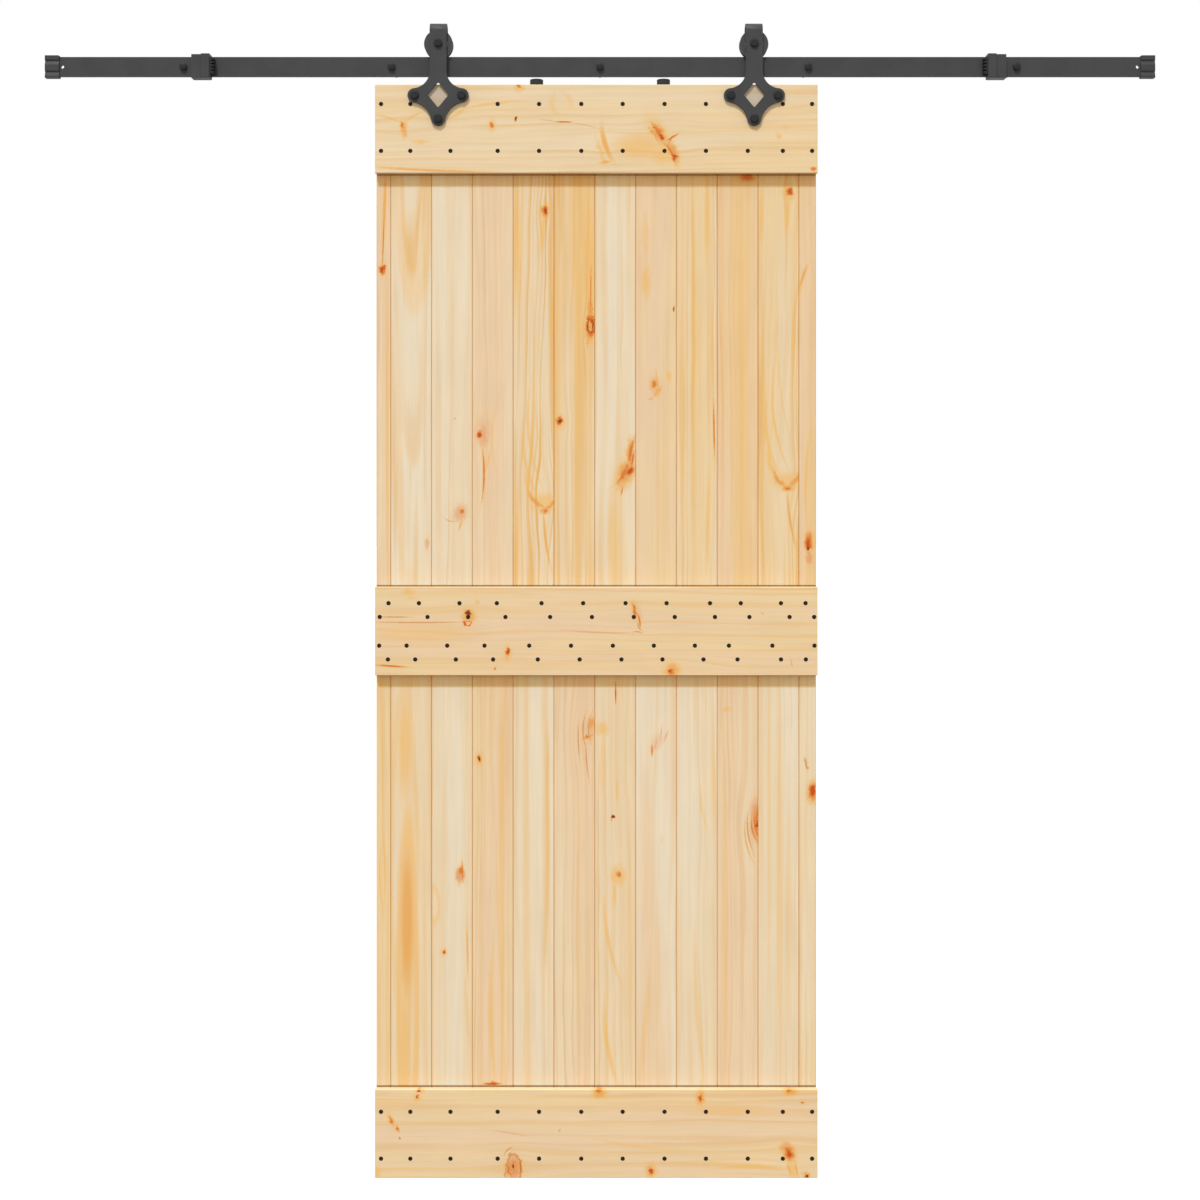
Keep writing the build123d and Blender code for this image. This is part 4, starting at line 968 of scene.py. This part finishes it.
def add_lag_screw(mesh, low, high):
    """A hex-head screw with a chamfered head, a smooth shank and a coarse thread down to its point."""
    def hexagon(angle):
        return LAG_HEAD_FLAT / math.cos((angle + math.pi / 6) % (math.pi / 3) - math.pi / 6)

    def thread(depth):
        share = min(1.0, (high.y - depth) / LAG_POINT)

        def reach(angle):
            turn = (depth / LAG_PITCH - angle / (2 * math.pi)) % 1.0
            ridge = max(0.0, 1.0 - abs(turn - 0.5) / LAG_RIDGE_SHARE)
            return max(LAG_TIP, share * (LAG_ROOT + (LAG_CREST - LAG_ROOT) * ridge))

        return reach

    start = len(mesh.verts)
    head_back = low.y + LAG_HEAD_HEIGHT
    corners = [
        (x, low.y + (math.hypot(x, z) - LAG_HEAD_FACE) * LAG_CHAMFER, z)
        for x, _, z in ring_at(hexagon, 0.0, LAG_SIDES)
    ]
    rings = [
        ring_at(LAG_HEAD_FACE, low.y, LAG_SIDES),
        corners,
        ring_at(hexagon, head_back, LAG_SIDES),
        ring_at(LAG_SHANK, head_back, LAG_SIDES),
        ring_at(LAG_SHANK, 0.0, LAG_SIDES),
    ]
    steps = int(high.y / LAG_STEP)
    depths = [high.y * i / steps for i in range(steps + 1)]
    rings += [ring_at(thread(depth), depth, LAG_SIDES) for depth in depths]
    loops = add_rings(mesh, rings)
    mesh.faces.new(loops[0])
    mesh.faces.new(loops[-1])
    mesh.verts.ensure_lookup_table()
    centre = (low + high) / 2
    bmesh.ops.translate(mesh, verts=mesh.verts[start:], vec=(centre.x, 0.0, centre.z))


def make_lag_screws():
    mesh = bmesh.new()
    for low, high in solid_boxes("lag_screws"):
        add_lag_screw(mesh, low, high)
    return finish_piece(mesh, "threaded_lag_screws", "rail", fastener, "lag_screws")


make_wood_screws()
make_lag_screws()

# Broken edges on flat metal and moulded parts, in millimetres
EDGE_BREAKS = {
    "rail": 0.5, "left_strap": 0.6, "right_strap": 0.6, "left_stop": 0.4, "right_stop": 0.4,
    "left_end_cap": 0.4, "right_end_cap": 0.4, "hanger_nuts": 0.4, "axle_nuts": 0.4,
    "hanger_washers": 0.25,
}
FLAT_ANGLE = math.radians(0.5)
EDGE_ANGLE = math.radians(40)
EDGE_SEGMENTS = 2

for name, width in EDGE_BREAKS.items():
    weld = nodes[name].modifiers.new("weld", "WELD")
    weld.merge_threshold = WELD_REACH
    flats = nodes[name].modifiers.new("flats", "DECIMATE")
    flats.decimate_type = "DISSOLVE"
    flats.angle_limit = FLAT_ANGLE
    bevel = nodes[name].modifiers.new("edge", "BEVEL")
    bevel.width = width * MM
    bevel.segments = EDGE_SEGMENTS
    bevel.limit_method = "ANGLE"
    bevel.angle_limit = EDGE_ANGLE
    bevel.harden_normals = True


# Floor, light and camera
FLOOR_HEIGHT = -3.1
FLOOR_HALF = 40.0
FLOOR_GREY = 0.25
FLOOR_GLOW = 0.78
AMBIENT = 0.78
AMBIENT_TINT = (1.06, 0.995, 0.9, 1.0)
KEY_STRENGTH = 2.42
KEY_TINT = (0.94, 1.005, 1.1)
KEY_SOFTNESS = math.radians(6)
KEY_FROM = Vector((-0.35, -1.0, 1.65))


def seen_share(graph):
    """One for rays that show the background: from the camera, off gloss, and through glass."""
    path = graph.add("ShaderNodeLightPath").outputs
    glossy = graph.math("MAXIMUM", path["Is Camera Ray"], path["Is Glossy Ray"])
    return graph.math("MAXIMUM", glossy, path["Is Transmission Ray"])


def make_floor():
    mesh = bpy.data.meshes.new("floor")
    half = FLOOR_HALF
    corners = [(-half, -half), (half, -half), (half, half), (-half, half)]
    mesh.from_pydata([(x, y, FLOOR_HEIGHT) for x, y in corners], [], [(0, 1, 2, 3)])
    floor = bpy.data.objects.new("floor", mesh)
    bpy.context.scene.collection.objects.link(floor)
    material, g, shader = new_material("floor")
    g.feed(shader, {
        "Base Color": grey(FLOOR_GREY),
        "Roughness": 1.0,
        "Specular IOR Level": 0.0,
        "Emission Color": grey(1.0),
        "Emission Strength": g.math("MULTIPLY", seen_share(g), FLOOR_GLOW),
    })
    mesh.materials.append(material)


def make_world():
    world = bpy.data.worlds.new("studio")
    bpy.context.scene.world = world
    world.use_nodes = True
    g = Nodes(world.node_tree)
    seen = seen_share(g)
    strength = g.math("MULTIPLY_ADD", seen, 1.0 - AMBIENT, AMBIENT)
    tint = g.mix(seen, AMBIENT_TINT, grey(1.0))
    g.feed(world.node_tree.nodes["Background"], {"Color": tint, "Strength": strength})


def make_key():
    lamp = bpy.data.lights.new("key", "SUN")
    lamp.energy = KEY_STRENGTH
    lamp.color = KEY_TINT
    lamp.angle = KEY_SOFTNESS
    key = bpy.data.objects.new("key", lamp)
    bpy.context.scene.collection.objects.link(key)
    key.rotation_euler = KEY_FROM.to_track_quat("Z", "Y").to_euler()


def make_camera():
    lens = bpy.data.cameras.new("camera")
    lens.lens = CAMERA_LENS
    lens.sensor_width = CAMERA_SENSOR
    lens.shift_y = SHIFT_UP
    camera = bpy.data.objects.new("camera", lens)
    bpy.context.scene.collection.objects.link(camera)
    camera.location = (0.0, BARS_FRONT - CAMERA_DISTANCE, CAMERA_HEIGHT)
    camera.rotation_euler = (math.radians(90), 0.0, 0.0)
    bpy.context.scene.camera = camera


make_floor()
make_world()
make_key()
make_camera()
bpy.context.scene.view_settings.view_transform = "Standard"
